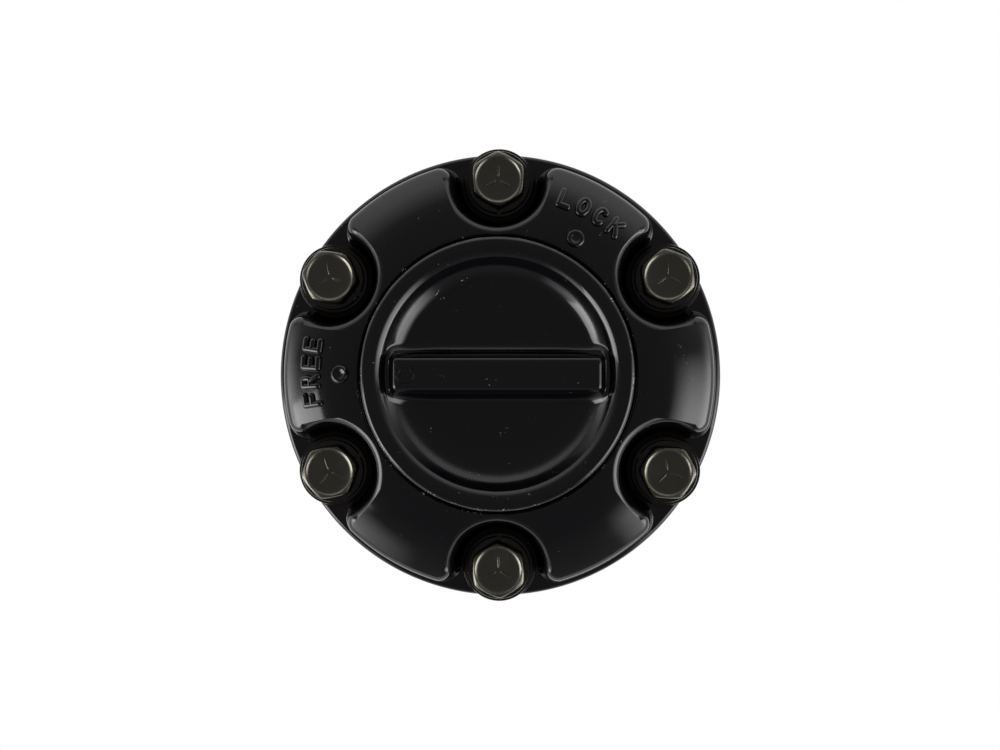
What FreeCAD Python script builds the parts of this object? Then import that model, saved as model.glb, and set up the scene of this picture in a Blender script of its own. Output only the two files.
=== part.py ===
import FreeCAD, Part
import math
import os

import Sketcher
from FreeCAD import Placement, Rotation, Vector

# A manual locking hub for a front axle, in millimetres.
# The origin is the centre of the bolt circle on the rear face that meets the wheel hub.
# Z points forward, out to the control knob. The knob is drawn in its FREE position.

SIZES = [
    ("bolt_circle", 91, "circle through the six hub bolts"),
    ("bolt_count", 6, "hub bolts"),
    ("first_bolt", 30, "angle of the first bolt"),
    ("bolt_dia", 8, "thread diameter"),
    ("bolt_shank_dia", 7.2, "plain shank of rolling stock, above the thread"),
    ("bolt_length", 55, "from under the head to the tip"),
    ("bolt_tip_chamfer", 0.9, "lead-in at the tip"),
    ("bolt_hole", 9, "clearance hole"),
    ("head_across", 12, "across the flats of the hexagon"),
    ("head_height", 5.5, "bolt head"),
    ("head_rounding", 1.4, "chamfer at the corners of the head"),
    ("head_dish", 0.7, "depth of the hollow in the head"),
    ("plain_washer_dia", 16.4, "outside"),
    ("plain_washer_thick", 1.6, ""),
    ("spring_washer_dia", 14.8, "outside"),
    ("spring_washer_thick", 2, ""),
    ("spring_washer_split", 1, "gap in the ring"),
    ("washer_play", 0.2, "round the thread"),
    ("flange_dia", 105.5, "both castings"),
    ("flange_edge", 0.7, "chamfer on the flanges"),
    ("body_height", 35, "rear face to joint with the cover"),
    ("body_rear_flange", 7, ""),
    ("body_front_flange", 6, ""),
    ("waist_dia", 80, "body between its flanges"),
    ("waist_rounding", 2.5, "where the waist runs into a flange"),
    ("column_dia", 13.4, "bolt columns beside the waist"),
    ("recess_dia", 64, "room for the spindle end in the rear face"),
    ("recess_depth", 5, ""),
    ("floor_thick", 11.5, "wall that carries the bush"),
    ("journal_dia", 40, "of the inner hub"),
    ("bush_wall", 2.4, ""),
    ("running_gap", 0.05, "radial, journal in bush"),
    ("side_play", 0.1, "axial play of the inner hub"),
    ("moving_gap", 0.3, "between pieces that move past each other"),
    ("seat_gap", 0.05, "radial, fixed spigots and rings"),
    ("cut_past", 1, "how far a cut runs on past the metal"),
    ("body_bore_dia", 68, "floor of the drive splines"),
    ("drive_count", 24, "drive splines in the body"),
    ("drive_height", 1.8, "of a drive spline"),
    ("drive_angle", 3.5, "half angle of a drive spline"),
    ("drive_play", 0.4, "angle between the flanks of the drive splines"),
    ("spigot_dia", 72, "of the cover, in the body"),
    ("spigot_wall", 1.6, ""),
    ("spigot_length", 2.8, ""),
    ("cover_ring_dia", 75.2, "centreline of the seal under the cover"),
    ("ring_section", 1.8, "thickness of both seal rings"),
    ("ring_groove_play", 0.15, "each side of a seal ring"),
    ("inner_hub_back", 2.2, "rear end of the inner hub above the rear face"),
    ("axle_major_dia", 27.2, "floor of the axle splines"),
    ("axle_minor_dia", 24.4, "tips of the axle splines"),
    ("axle_count", 26, "axle splines"),
    ("axle_tooth_angle", 3.3, "half angle of an axle spline at its root"),
    ("axle_tip_angle", 2.3, "half angle of an axle spline at its tip"),
    ("axle_chamfer", 1, "lead-in at both ends of the axle bore"),
    ("thrust_thick", 1.6, "thrust washer"),
    ("clutch_count", 36, "clutch teeth"),
    ("clutch_root_dia", 45.2, "floor of the inner hub's teeth"),
    ("clutch_tooth_height", 2.4, ""),
    ("clutch_tooth_length", 6.6, "on the inner hub"),
    ("clutch_root_angle", 2.6, "half angle of a tooth at its root"),
    ("clutch_tip_angle", 1.9, "half angle of a tooth at its tip"),
    ("clutch_play", 0.35, "angle between the flanks of meshed teeth"),
    ("clutch_free_gap", 1.4, "clear between the teeth in FREE"),
    ("clutch_end_gap", 0.5, "clutch ring to floor in LOCK"),
    ("clutch_height", 8.3, "whole ring"),
    ("clutch_web", 2, "over the spring groove"),
    ("clutch_bore_wall", 1.9, "between teeth and spring groove"),
    ("clutch_rim_wall", 1.5, "between spring groove and drive splines"),
    ("shift_travel", 7.5, "FREE to LOCK"),
    ("lock_angle", 120, "turn of the knob, FREE to LOCK"),
    ("return_wire", 1.6, "return spring"),
    ("return_turns", 3, ""),
    ("shift_wire", 1.3, "shift spring"),
    ("shift_turns", 2.5, ""),
    ("stem_dia", 48, "of the knob, through the cover"),
    ("stem_wall", 3.5, ""),
    ("stem_gap", 0.6, "stem to clutch ring in FREE"),
    ("snap_ring_thick", 1.2, "both snap rings"),
    ("snap_ring_depth", 1.4, "depth of both snap-ring grooves"),
    ("snap_ring_width", 3.4, "radial width"),
    ("snap_ring_opening", 14, "half angle of the gap in a snap ring"),
    ("follower_height", 5, ""),
    ("follower_wall", 1.9, ""),
    ("follower_count", 3, "pins and lugs"),
    ("follower_pin", 4, "diameter"),
    ("pin_end_gap", 0.45, "end of a pin to the outside of the sleeve"),
    ("lug_width", 6, ""),
    ("lug_height", 3.8, ""),
    ("lug_play", 0.15, "each side of a lug in its slot"),
    ("slot_play", 0.25, "each side of a pin in its slot"),
    ("slot_overrun", 5, "angle that a slot runs on past its pin"),
    ("sleeve_wall", 3.5, "cam sleeve"),
    ("cover_flange", 4.5, ""),
    ("pad_dia", 17.4, "raised seat under each washer"),
    ("pad_height", 0.8, ""),
    ("petal_dia", 102.8, "foot of the raised lobes"),
    ("petal_edge_height", 9.6, "edge of the lobes above the flange"),
    ("crown_height", 17, "cover beside the knob, above the flange"),
    ("crown_curve", 36, "radius of the domed front"),
    ("shoulder", 3, "rounding at the outside of the lobes"),
    ("cast_draft", 8, "slope of the walls of the lobes"),
    ("recess_radius", 9.6, "bolt recess at its floor"),
    ("petal_corner", 3.9, "corner of a lobe, seen from the front"),
    ("corner_run_out", 0.3, "corners run out past the wall of the lobe"),
    ("recess_edge", 1.3, "rounding at the rim of a bolt recess"),
    ("lobe_core_in", 81, "inner diameter of the hollow in a lobe"),
    ("lobe_core_out", 93, "outer diameter of the hollow in a lobe"),
    ("lobe_core_angle", 10.5, "half angle of the hollow"),
    ("lobe_core_height", 6.5, "hollow above the flange's front face"),
    ("shelf_height", 9.5, "seat of the knob above the flange"),
    ("shelf_thick", 3, ""),
    ("knob_dia", 62.4, ""),
    ("knob_edge_height", 16.6, "edge of the knob above the flange"),
    ("crest_dia", 54.8, ""),
    ("crest_height", 21, "above the flange"),
    ("crest_curve", 7, "convex slope from the edge to the crest"),
    ("rim_rounding", 1.5, "top of the rim"),
    ("rim_inner_dia", 52.6, "inside of the rim near its top"),
    ("rim_inner_drop", 1.1, "below the crest"),
    ("bowl_curve", 7.6, "hollow wall of the finger pockets"),
    ("bowl_floor_dia", 40.6, ""),
    ("bowl_floor_height", 12.7, "above the flange"),
    ("bowl_middle_drop", 0.4, "floor is this much lower in the middle"),
    ("knob_floor", 2.8, "thickness under the finger pockets"),
    ("bar_length", 45.8, "grip bar at its top"),
    ("bar_width", 7.4, "grip bar at its top"),
    ("bar_drop", 0.5, "top of the bar below the crest"),
    ("bar_draft", 10, "slope of its sides"),
    ("bar_foot", 1.2, "rounding at the foot of the bar"),
    ("bar_edge", 0.7, "rounding along the top of the bar"),
    ("detent_circle", 56.8, "circle of the detent ball"),
    ("detent_ball_dia", 3.8, ""),
    ("detent_reach", 0.9, "ball below the knob"),
    ("detent_play", 0.1, "round the ball"),
    ("detent_dimple", 0.5, "notch below the ball track"),
    ("detent_notch_dia", 2.6, ""),
    ("detent_spring_length", 2.6, ""),
    ("detent_wire", 0.4, ""),
    ("detent_turns", 3, ""),
    ("detent_place", 90, "angle of the ball in FREE"),
]
# How far each bolt head is turned on its own axis, in degrees
HEAD_TURNS = (8, 0, 22, 41, 3, 27)
# Two lengths this close are taken as equal
NEAR = 0.001

DOC = FreeCAD.newDocument("LockingHub")
SHEET = DOC.addObject("Spreadsheet::Sheet", "Sizes")
SUB_PARTS = []


def fill_sheet():
    for row, (alias, number, note) in enumerate(SIZES, start=1):
        SHEET.set(f"A{row}", alias)
        SHEET.set(f"B{row}", str(number))
        SHEET.set(f"C{row}", note)
        SHEET.setAlias(f"B{row}", alias)
    DOC.recompute()


def value(text):
    return float(SHEET.evalExpression(text))


# Levels along Z and radii that several pieces share, as expressions of the sheet

BOLT_RADIUS = "(Sizes.bolt_circle / 2)"
FLANGE = "(Sizes.flange_dia / 2)"
FLOOR = "(Sizes.recess_depth + Sizes.floor_thick)"
COLLAR = f"({FLOOR} + 2 * Sizes.side_play + Sizes.thrust_thick)"
TEETH_TOP = f"({COLLAR} + Sizes.clutch_tooth_length)"
CLUTCH_TEETH = f"({TEETH_TOP} + Sizes.clutch_free_gap)"
CLUTCH_LOW = f"({FLOOR} + Sizes.clutch_end_gap + Sizes.shift_travel)"
CLUTCH_TOP = f"({CLUTCH_LOW} + Sizes.clutch_height)"
SPRING_SEAT = f"({CLUTCH_TOP} - Sizes.clutch_web)"
STEM_END = f"({CLUTCH_TOP} + Sizes.stem_gap)"
SLEEVE_END = f"({CLUTCH_TOP} + Sizes.moving_gap)"
JOINT = "Sizes.body_height"
SPIGOT_SEAT = f"({JOINT} - Sizes.spigot_length - Sizes.moving_gap)"
FRONT = f"({JOINT} + Sizes.cover_flange)"
PAD = f"({FRONT} + Sizes.pad_height)"
PLAIN_TOP = f"({PAD} + Sizes.plain_washer_thick)"
HEAD_LOW = f"({PLAIN_TOP} + Sizes.spring_washer_thick)"
HEAD_TOP = f"({HEAD_LOW} + Sizes.head_height)"
SHELF_TOP = f"({FRONT} + Sizes.shelf_height)"
SHELF_LOW = f"({SHELF_TOP} - Sizes.shelf_thick)"
KNOB_LOW = f"({SHELF_TOP} + Sizes.moving_gap)"
KNOB_RING_TOP = f"({SHELF_LOW} - Sizes.side_play)"
KNOB_RING_LOW = f"({KNOB_RING_TOP} - Sizes.snap_ring_thick)"
FOLLOWER_TOP = f"({KNOB_RING_LOW} - Sizes.moving_gap)"
FOLLOWER_LOW = f"({FOLLOWER_TOP} - Sizes.follower_height)"
PIN_LEVEL = f"({FOLLOWER_TOP} - Sizes.follower_height / 2)"
LUG_TOP = f"({PIN_LEVEL} + Sizes.lug_height / 2)"
CREST = f"({FRONT} + Sizes.crest_height)"
BOWL_FLOOR = f"({FRONT} + Sizes.bowl_floor_height)"
KNOB_CEILING = f"({BOWL_FLOOR} - Sizes.bowl_middle_drop - Sizes.knob_floor)"

JOURNAL = "(Sizes.journal_dia / 2)"
BUSH_IN = f"({JOURNAL} + Sizes.running_gap)"
BUSH_OUT = f"({BUSH_IN} + Sizes.bush_wall)"
BODY_BORE = "(Sizes.body_bore_dia / 2)"
DRIVE_TIP = f"({BODY_BORE} - Sizes.drive_height)"
CLUTCH_RIM = f"({DRIVE_TIP} - Sizes.moving_gap)"
CLUTCH_SPLINE = f"({BODY_BORE} - Sizes.moving_gap)"
TOOTH_ROOT = "(Sizes.clutch_root_dia / 2)"
TOOTH_TIP = f"({TOOTH_ROOT} + Sizes.clutch_tooth_height)"
RING_TOOTH_TIP = f"({TOOTH_ROOT} + Sizes.moving_gap)"
RING_BORE = f"({TOOTH_TIP} + Sizes.moving_gap)"
GROOVE_IN = f"({RING_BORE} + Sizes.clutch_bore_wall)"
GROOVE_OUT = f"({CLUTCH_RIM} - Sizes.clutch_rim_wall)"
SPIGOT = "(Sizes.spigot_dia / 2)"
COVER_RING = "(Sizes.cover_ring_dia / 2)"
RING_HALF = "(Sizes.ring_section / 2)"
STEM = "(Sizes.stem_dia / 2)"
STEM_BORE = f"({STEM} - Sizes.stem_wall)"
COVER_BORE = f"({STEM} + Sizes.moving_gap)"
SNAP_FLOOR = f"({STEM} - Sizes.snap_ring_depth)"
FOLLOWER_IN = f"({STEM} + Sizes.moving_gap)"
FOLLOWER_OUT = f"({FOLLOWER_IN} + Sizes.follower_wall)"
SLEEVE_IN = f"({FOLLOWER_OUT} + Sizes.moving_gap)"
SLEEVE_OUT = f"({SLEEVE_IN} + Sizes.sleeve_wall)"
PIN_REACH = f"({SLEEVE_OUT} - Sizes.pin_end_gap)"
KNOB = "(Sizes.knob_dia / 2)"
KNOB_BORE = f"({KNOB} + Sizes.moving_gap)"
CREST_RADIUS = "(Sizes.crest_dia / 2)"
DETENT = "(Sizes.detent_circle / 2)"
BALL = "(Sizes.detent_ball_dia / 2)"
BALL_LEVEL = f"({KNOB_LOW} - Sizes.detent_reach + {BALL})"
BALL_TRACK = f"({KNOB_LOW} - Sizes.detent_reach - Sizes.detent_play)"
PETAL = "(Sizes.petal_dia / 2)"
AXLE_ROOT = "(Sizes.axle_major_dia / 2)"
AXLE_TIP = "(Sizes.axle_minor_dia / 2)"
CLUTCH_PITCH = "(180 / Sizes.clutch_count)"
DRIVE_PITCH = "(180 / Sizes.drive_count)"


def origin_plane(body, role):
    return next(f for f in body.Origin.OriginFeatures if f.Role == role)


def new_body(name):
    body = DOC.addObject("PartDesign::Body", name)
    body.Label = name
    body.AllowCompound = True
    SUB_PARTS.append(body)
    return body


def new_sketch(body, name, role, level=None, turn=None):
    """A sketch on an origin plane, raised to a level and turned about Z."""
    sketch = body.newObject("Sketcher::SketchObject", name)
    sketch.AttachmentSupport = [(origin_plane(body, role), "")]
    sketch.MapMode = "FlatFace"
    if turn is not None:
        about = Vector(0, 0, 1) if role == "XY_Plane" else Vector(0, 1, 0)
        sketch.AttachmentOffset = Placement(Vector(), Rotation(about, value(turn)))
        sketch.setExpression("AttachmentOffset.Rotation.Angle", turn)
    if level is not None:
        sketch.setExpression("AttachmentOffset.Base.z", level)
    return sketch


def hold(sketch, kind, item, point, text):
    """Ties one coordinate of a point to an expression."""
    number = value(text)
    mark = sketch.addConstraint(Sketcher.Constraint(kind, -1, 1, item, point, number))
    sketch.setExpression(f"Constraints[{mark}]", text)


def set_size(sketch, kind, item, text):
    mark = sketch.addConstraint(Sketcher.Constraint(kind, item, value(text)))
    sketch.setExpression(f"Constraints[{mark}]", text)


def arc_between(start, end, radius):
    """An arc of a signed radius: positive turns left on its way, negative turns right."""
    if radius < 0:
        start, end = end, start
    chord = end - start
    depth = math.sqrt(max(radius * radius - chord.Length * chord.Length / 4, 0))
    across = Vector(-chord.y, chord.x, 0).normalize()
    centre = start + chord * 0.5 + across * depth
    low = math.atan2(start.y - centre.y, start.x - centre.x)
    high = math.atan2(end.y - centre.y, end.x - centre.x)
    if high <= low:
        high += 2 * math.pi
    return Part.ArcOfCircle(Part.Circle(centre, Vector(0, 0, 1), abs(radius)), low, high)


def outline(sketch, corners):
    """A closed outline. A corner is (x, y) or (x, y, signed radius of the arc to the next)."""
    points = [Vector(value(c[0]), value(c[1]), 0) for c in corners]
    first = sketch.GeometryCount
    ends = []
    for index, corner in enumerate(corners):
        start = points[index]
        end = points[(index + 1) % len(points)]
        if len(corner) == 2:
            sketch.addGeometry(Part.LineSegment(start, end), False)
            ends.append((1, 2))
        else:
            radius = value(corner[2])
            sketch.addGeometry(arc_between(start, end, radius), False)
            ends.append((1, 2) if radius > 0 else (2, 1))
    for index, corner in enumerate(corners):
        item = first + index
        after = (index + 1) % len(corners)
        join = Sketcher.Constraint(
            "Coincident", item, ends[index][1], first + after, ends[after][0]
        )
        sketch.addConstraint(join)
        hold(sketch, "DistanceX", item, ends[index][0], corner[0])
        hold(sketch, "DistanceY", item, ends[index][0], corner[1])
        if len(corner) == 3:
            set_size(sketch, "Radius", item, f"abs({corner[2]})")
    return sketch


def circle(sketch, x, y, radius):
    item = sketch.addGeometry(
        Part.Circle(Vector(value(x), value(y), 0), Vector(0, 0, 1), value(radius)), False
    )
    hold(sketch, "DistanceX", item, 3, x)
    hold(sketch, "DistanceY", item, 3, y)
    set_size(sketch, "Radius", item, radius)
    return sketch


def turned(body, name, corners):
    """A solid turned about Z from a half section given as (radius, height)."""
    sketch = outline(new_sketch(body, name + "_section", "XZ_Plane"), corners)
    feature = body.newObject("PartDesign::Revolution", name)
    feature.Profile = sketch
    feature.ReferenceAxis = (origin_plane(body, "Z_Axis"), [""])
    feature.Angle = 360
    DOC.recompute()
    return feature


def pad(body, name, sketch, length, downward=False, draft=None):
    feature = body.newObject("PartDesign::Pad", name)
    feature.Profile = sketch
    feature.setExpression("Length", length)
    feature.Reversed = downward
    if draft is not None:
        feature.setExpression("TaperAngle", draft)
    DOC.recompute()
    return feature


def pocket(body, name, sketch, length, upward=True, draft=None):
    """Cuts upward from the sketch, or downward. It has to take something away."""
    before = body.Shape.Volume
    feature = body.newObject("PartDesign::Pocket", name)
    feature.Profile = sketch
    feature.setExpression("Length", length)
    feature.Reversed = upward
    if draft is not None:
        feature.setExpression("TaperAngle", draft)
    DOC.recompute()
    if body.Shape.Volume >= before:
        raise RuntimeError(f"{body.Label}: {name} cuts nothing")
    return feature


def repeat(body, name, feature, count):
    pattern = body.newObject("PartDesign::PolarPattern", name)
    pattern.Originals = [feature]
    pattern.Axis = (origin_plane(body, "Z_Axis"), [""])
    pattern.Angle = 360
    pattern.setExpression("Occurrences", count)
    body.Tip = pattern
    DOC.recompute()
    return pattern


def round_edges(body, name, radius, wanted):
    """Fillets the edges of the body's tip for which wanted(edge) is true."""
    base = body.Tip
    names = [
        f"Edge{index}"
        for index, edge in enumerate(base.Shape.Edges, start=1)
        if wanted(edge)
    ]
    if not names:
        raise RuntimeError(f"{body.Label}: {name} finds no edges")
    feature = body.newObject("PartDesign::Fillet", name)
    feature.Base = (base, names)
    feature.setExpression("Radius", radius)
    DOC.recompute()
    return feature


def polar(radius, angle):
    """Coordinates of a point at an angle in degrees, as two expressions."""
    return f"{radius} * cos({angle})", f"{radius} * sin({angle})"


def tooth(sketch, root, tip, root_angle, tip_angle, at="0"):
    """A straight-sided tooth between two radii, centred on an angle."""
    corners = [
        polar(root, f"({at}) - ({root_angle})"),
        polar(tip, f"({at}) - ({tip_angle})"),
        polar(tip, f"({at}) + ({tip_angle})"),
        polar(root, f"({at}) + ({root_angle})"),
    ]
    return outline(sketch, corners)


def rectangle(left, right, half):
    return [(left, f"-{half}"), (right, f"-{half}"), (right, half), (left, half)]


def wire_coil(name, radius, wire, low, high, turns, place=None):
    """A round-wire coil spring whose outside runs from low to high, in half turns."""
    coil = DOC.addObject("Part::Feature", name)
    coil.Label = name
    reach = value(radius)
    thick = value(wire)
    halves = round(2 * value(turns))
    rise = (value(high) - value(low) - thick) / halves
    level = value(low) + thick / 2
    side = math.hypot(reach, rise / 2)
    arcs = []
    for half in range(halves):
        way = 1 if half % 2 == 0 else -1
        start = Vector(way * reach, 0, level + half * rise)
        middle = Vector(0, way * side, level + (half + 1 / 2) * rise)
        end = Vector(-way * reach, 0, level + (half + 1) * rise)
        arcs.append(Part.Arc(start, middle, end).toShape())
    section = Part.Wire(Part.makeCircle(thick / 2, Vector(reach, 0, level), Vector(0, 1, 0)))
    coil.Shape = Part.Wire(arcs).makePipeShell([section], True, True)
    if place is not None:
        coil.Placement = Placement(Vector(value(place[0]), value(place[1]), 0), Rotation())
    SUB_PARTS.append(coil)
    return coil


def seal_ring(name, radius, section, level):
    ring = DOC.addObject("Part::Torus", name)
    ring.Label = name
    ring.setExpression("Radius1", radius)
    ring.setExpression("Radius2", section)
    ring.setExpression("Placement.Base.z", level)
    SUB_PARTS.append(ring)
    return ring


def snap_ring(name, inside, low):
    """An open ring that springs into a groove."""
    body = new_body(name)
    outside = f"({inside} + Sizes.snap_ring_width)"
    opening = "Sizes.snap_ring_opening"
    corners = [
        (*polar(inside, opening), inside),
        (*polar(inside, "180"), inside),
        polar(inside, f"-({opening})"),
        (*polar(outside, f"-({opening})"), f"-{outside}"),
        (*polar(outside, "180"), f"-{outside}"),
        polar(outside, opening),
    ]
    ring = outline(new_sketch(body, name + "_shape", "XY_Plane", low), corners)
    pad(body, name + "_pad", ring, "Sizes.snap_ring_thick")
    return body


# Hub body

def make_hub_body():
    body = new_body("hub_body")
    waist = "(Sizes.waist_dia / 2)"
    chamfer = "Sizes.flange_edge"
    bend = "Sizes.waist_rounding"
    shoulder_low = "Sizes.body_rear_flange"
    shoulder_high = f"({JOINT} - Sizes.body_front_flange)"
    recess = "(Sizes.recess_dia / 2)"
    seal_low = f"({JOINT} - Sizes.ring_section)"
    turned(body, "casting", [
        (f"{FLANGE} - {chamfer}", "0"),
        (FLANGE, chamfer),
        (FLANGE, shoulder_low),
        (f"{waist} + {bend}", shoulder_low, f"-{bend}"),
        (waist, f"{shoulder_low} + {bend}"),
        (waist, f"{shoulder_high} - {bend}", f"-{bend}"),
        (f"{waist} + {bend}", shoulder_high),
        (FLANGE, shoulder_high),
        (FLANGE, JOINT),
        (f"{COVER_RING} + {RING_HALF} + Sizes.ring_groove_play", JOINT),
        (f"{COVER_RING} + {RING_HALF} + Sizes.ring_groove_play", seal_low),
        (f"{COVER_RING} - {RING_HALF} - Sizes.ring_groove_play", seal_low),
        (f"{COVER_RING} - {RING_HALF} - Sizes.ring_groove_play", JOINT),
        (SPIGOT, JOINT),
        (SPIGOT, SPIGOT_SEAT),
        (BODY_BORE, SPIGOT_SEAT),
        (BODY_BORE, FLOOR),
        (BUSH_OUT, FLOOR),
        (BUSH_OUT, "Sizes.recess_depth"),
        (recess, "Sizes.recess_depth"),
        (recess, "0"),
    ])
    column = new_sketch(body, "column_shape", "XY_Plane", chamfer, "Sizes.first_bolt")
    circle(column, BOLT_RADIUS, "0", "Sizes.column_dia / 2")
    columns = pad(body, "column", column, f"{JOINT} - 2 * {chamfer}")
    repeat(body, "columns", columns, "Sizes.bolt_count")
    hole = new_sketch(body, "hole_shape", "XY_Plane", turn="Sizes.first_bolt")
    circle(hole, BOLT_RADIUS, "0", "Sizes.bolt_hole / 2")
    holes = pocket(body, "bolt_hole", hole, JOINT)
    repeat(body, "bolt_holes", holes, "Sizes.bolt_count")
    spline = new_sketch(body, "spline_shape", "XY_Plane", FLOOR)
    wide = "Sizes.drive_angle"
    tooth(spline, f"({BODY_BORE} + Sizes.moving_gap)", DRIVE_TIP, wide, wide)
    splines = pad(body, "drive_spline", spline, f"{SPIGOT_SEAT} - {FLOOR}")
    repeat(body, "drive_splines", splines, "Sizes.drive_count")
    return body


# Inner hub, its bush, thrust washer and snap ring

def make_inner_hub():
    body = new_body("inner_hub")
    chamfer = "Sizes.axle_chamfer"
    groove_top = f"(Sizes.recess_depth - Sizes.side_play + Sizes.seat_gap)"
    groove_low = f"({groove_top} - Sizes.snap_ring_thick - 2 * Sizes.seat_gap)"
    groove = f"({JOURNAL} - Sizes.snap_ring_depth)"
    turned(body, "turning", [
        (f"{AXLE_ROOT} + {chamfer}", "Sizes.inner_hub_back"),
        (JOURNAL, "Sizes.inner_hub_back"),
        (JOURNAL, groove_low),
        (groove, groove_low),
        (groove, groove_top),
        (JOURNAL, groove_top),
        (JOURNAL, COLLAR),
        (TOOTH_ROOT, COLLAR),
        (TOOTH_ROOT, TEETH_TOP),
        (f"{AXLE_ROOT} + {chamfer}", TEETH_TOP),
        (AXLE_ROOT, f"{TEETH_TOP} - {chamfer}"),
        (AXLE_ROOT, f"Sizes.inner_hub_back + {chamfer}"),
    ])
    outer = new_sketch(body, "clutch_tooth_shape", "XY_Plane", COLLAR)
    tooth(
        outer, f"({TOOTH_ROOT} - Sizes.moving_gap)", TOOTH_TIP,
        "Sizes.clutch_root_angle", "Sizes.clutch_tip_angle",
    )
    teeth = pad(body, "clutch_tooth", outer, "Sizes.clutch_tooth_length")
    repeat(body, "clutch_teeth", teeth, "Sizes.clutch_count")
    low = f"(Sizes.inner_hub_back + {chamfer})"
    inner = new_sketch(body, "axle_spline_shape", "XY_Plane", low)
    angle = "Sizes.axle_tooth_angle"
    tooth(inner, f"({AXLE_ROOT} + Sizes.moving_gap)", AXLE_TIP, angle, "Sizes.axle_tip_angle")
    splines = pad(body, "axle_spline", inner, f"{TEETH_TOP} - {chamfer} - {low}")
    repeat(body, "axle_splines", splines, "Sizes.axle_count")
    return body


def make_bush():
    body = new_body("inner_hub_bush")
    turned(body, "bush", [
        (BUSH_IN, "Sizes.recess_depth"),
        (BUSH_OUT, "Sizes.recess_depth"),
        (BUSH_OUT, FLOOR),
        (BUSH_IN, FLOOR),
    ])
    return body


def make_thrust_washer():
    body = new_body("thrust_washer")
    low = FLOOR
    high = f"({FLOOR} + Sizes.thrust_thick)"
    turned(body, "washer", [
        (f"{JOURNAL} + Sizes.moving_gap", low),
        (f"{TOOTH_ROOT} - Sizes.seat_gap", low),
        (f"{TOOTH_ROOT} - Sizes.seat_gap", high),
        (f"{JOURNAL} + Sizes.moving_gap", high),
    ])
    return body


def make_inner_hub_snap_ring():
    inside = f"({JOURNAL} - Sizes.snap_ring_depth + Sizes.seat_gap)"
    low = "(Sizes.recess_depth - Sizes.side_play - Sizes.snap_ring_thick)"
    return snap_ring("inner_hub_snap_ring", inside, low)


# Clutch ring and its two springs

def make_clutch_ring():
    body = new_body("clutch_ring")
    turned(body, "ring", [
        (RING_BORE, CLUTCH_LOW),
        (GROOVE_IN, CLUTCH_LOW),
        (GROOVE_IN, SPRING_SEAT),
        (GROOVE_OUT, SPRING_SEAT),
        (GROOVE_OUT, CLUTCH_LOW),
        (CLUTCH_RIM, CLUTCH_LOW),
        (CLUTCH_RIM, CLUTCH_TOP),
        (RING_BORE, CLUTCH_TOP),
    ])
    outer = new_sketch(body, "spline_shape", "XY_Plane", CLUTCH_LOW)
    wide = f"({DRIVE_PITCH} - Sizes.drive_angle - Sizes.drive_play)"
    tooth(outer, f"({CLUTCH_RIM} - Sizes.moving_gap)", CLUTCH_SPLINE, wide, wide, DRIVE_PITCH)
    splines = pad(body, "spline", outer, "Sizes.clutch_height")
    repeat(body, "splines", splines, "Sizes.drive_count")
    inner = new_sketch(body, "tooth_shape", "XY_Plane", CLUTCH_TEETH)
    root = f"({CLUTCH_PITCH} - Sizes.clutch_tip_angle - Sizes.clutch_play)"
    tip = f"({CLUTCH_PITCH} - Sizes.clutch_root_angle - Sizes.clutch_play)"
    tooth(inner, f"({RING_BORE} + Sizes.moving_gap)", RING_TOOTH_TIP, root, tip, CLUTCH_PITCH)
    teeth = pad(body, "tooth", inner, f"{CLUTCH_TOP} - {CLUTCH_TEETH}")
    repeat(body, "teeth", teeth, "Sizes.clutch_count")
    return body


def make_springs():
    middle = f"(({GROOVE_IN} + {GROOVE_OUT}) / 2)"
    wire_coil(
        "return_spring", middle, "Sizes.return_wire", FLOOR, SPRING_SEAT, "Sizes.return_turns"
    )
    middle = f"(({STEM} + {SLEEVE_IN}) / 2)"
    wire_coil(
        "shift_spring", middle, "Sizes.shift_wire", CLUTCH_TOP, FOLLOWER_LOW, "Sizes.shift_turns"
    )
    wire_coil(
        "detent_spring", f"({BALL} - Sizes.detent_wire)", "Sizes.detent_wire",
        f"({BALL_LEVEL} + {BALL})", f"({BALL_LEVEL} + {BALL} + Sizes.detent_spring_length)",
        "Sizes.detent_turns", polar(DETENT, "Sizes.detent_place"),
    )


# Follower, cam sleeve

def make_follower():
    body = new_body("follower")
    turned(body, "ring", [
        (FOLLOWER_IN, FOLLOWER_LOW),
        (FOLLOWER_OUT, FOLLOWER_LOW),
        (FOLLOWER_OUT, FOLLOWER_TOP),
        (FOLLOWER_IN, FOLLOWER_TOP),
    ])
    half = "Sizes.lug_width / 2"
    lug = new_sketch(body, "lug_shape", "XY_Plane", f"{LUG_TOP} - Sizes.lug_height")
    outline(lug, [
        (f"{STEM_BORE} + Sizes.moving_gap", f"-{half}"),
        (f"{FOLLOWER_IN} + Sizes.follower_wall / 2", f"-{half}"),
        (f"{FOLLOWER_IN} + Sizes.follower_wall / 2", half),
        (f"{STEM_BORE} + Sizes.moving_gap", half),
    ])
    lugs = pad(body, "lug", lug, "Sizes.lug_height")
    repeat(body, "lugs", lugs, "Sizes.follower_count")
    foot = f"({FOLLOWER_IN} + Sizes.follower_wall / 2)"
    pin = new_sketch(body, "pin_shape", "YZ_Plane", foot)
    circle(pin, "0", PIN_LEVEL, "Sizes.follower_pin / 2")
    pins = pad(body, "pin", pin, f"{PIN_REACH} - {foot}")
    repeat(body, "pins", pins, "Sizes.follower_count")
    return body


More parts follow.
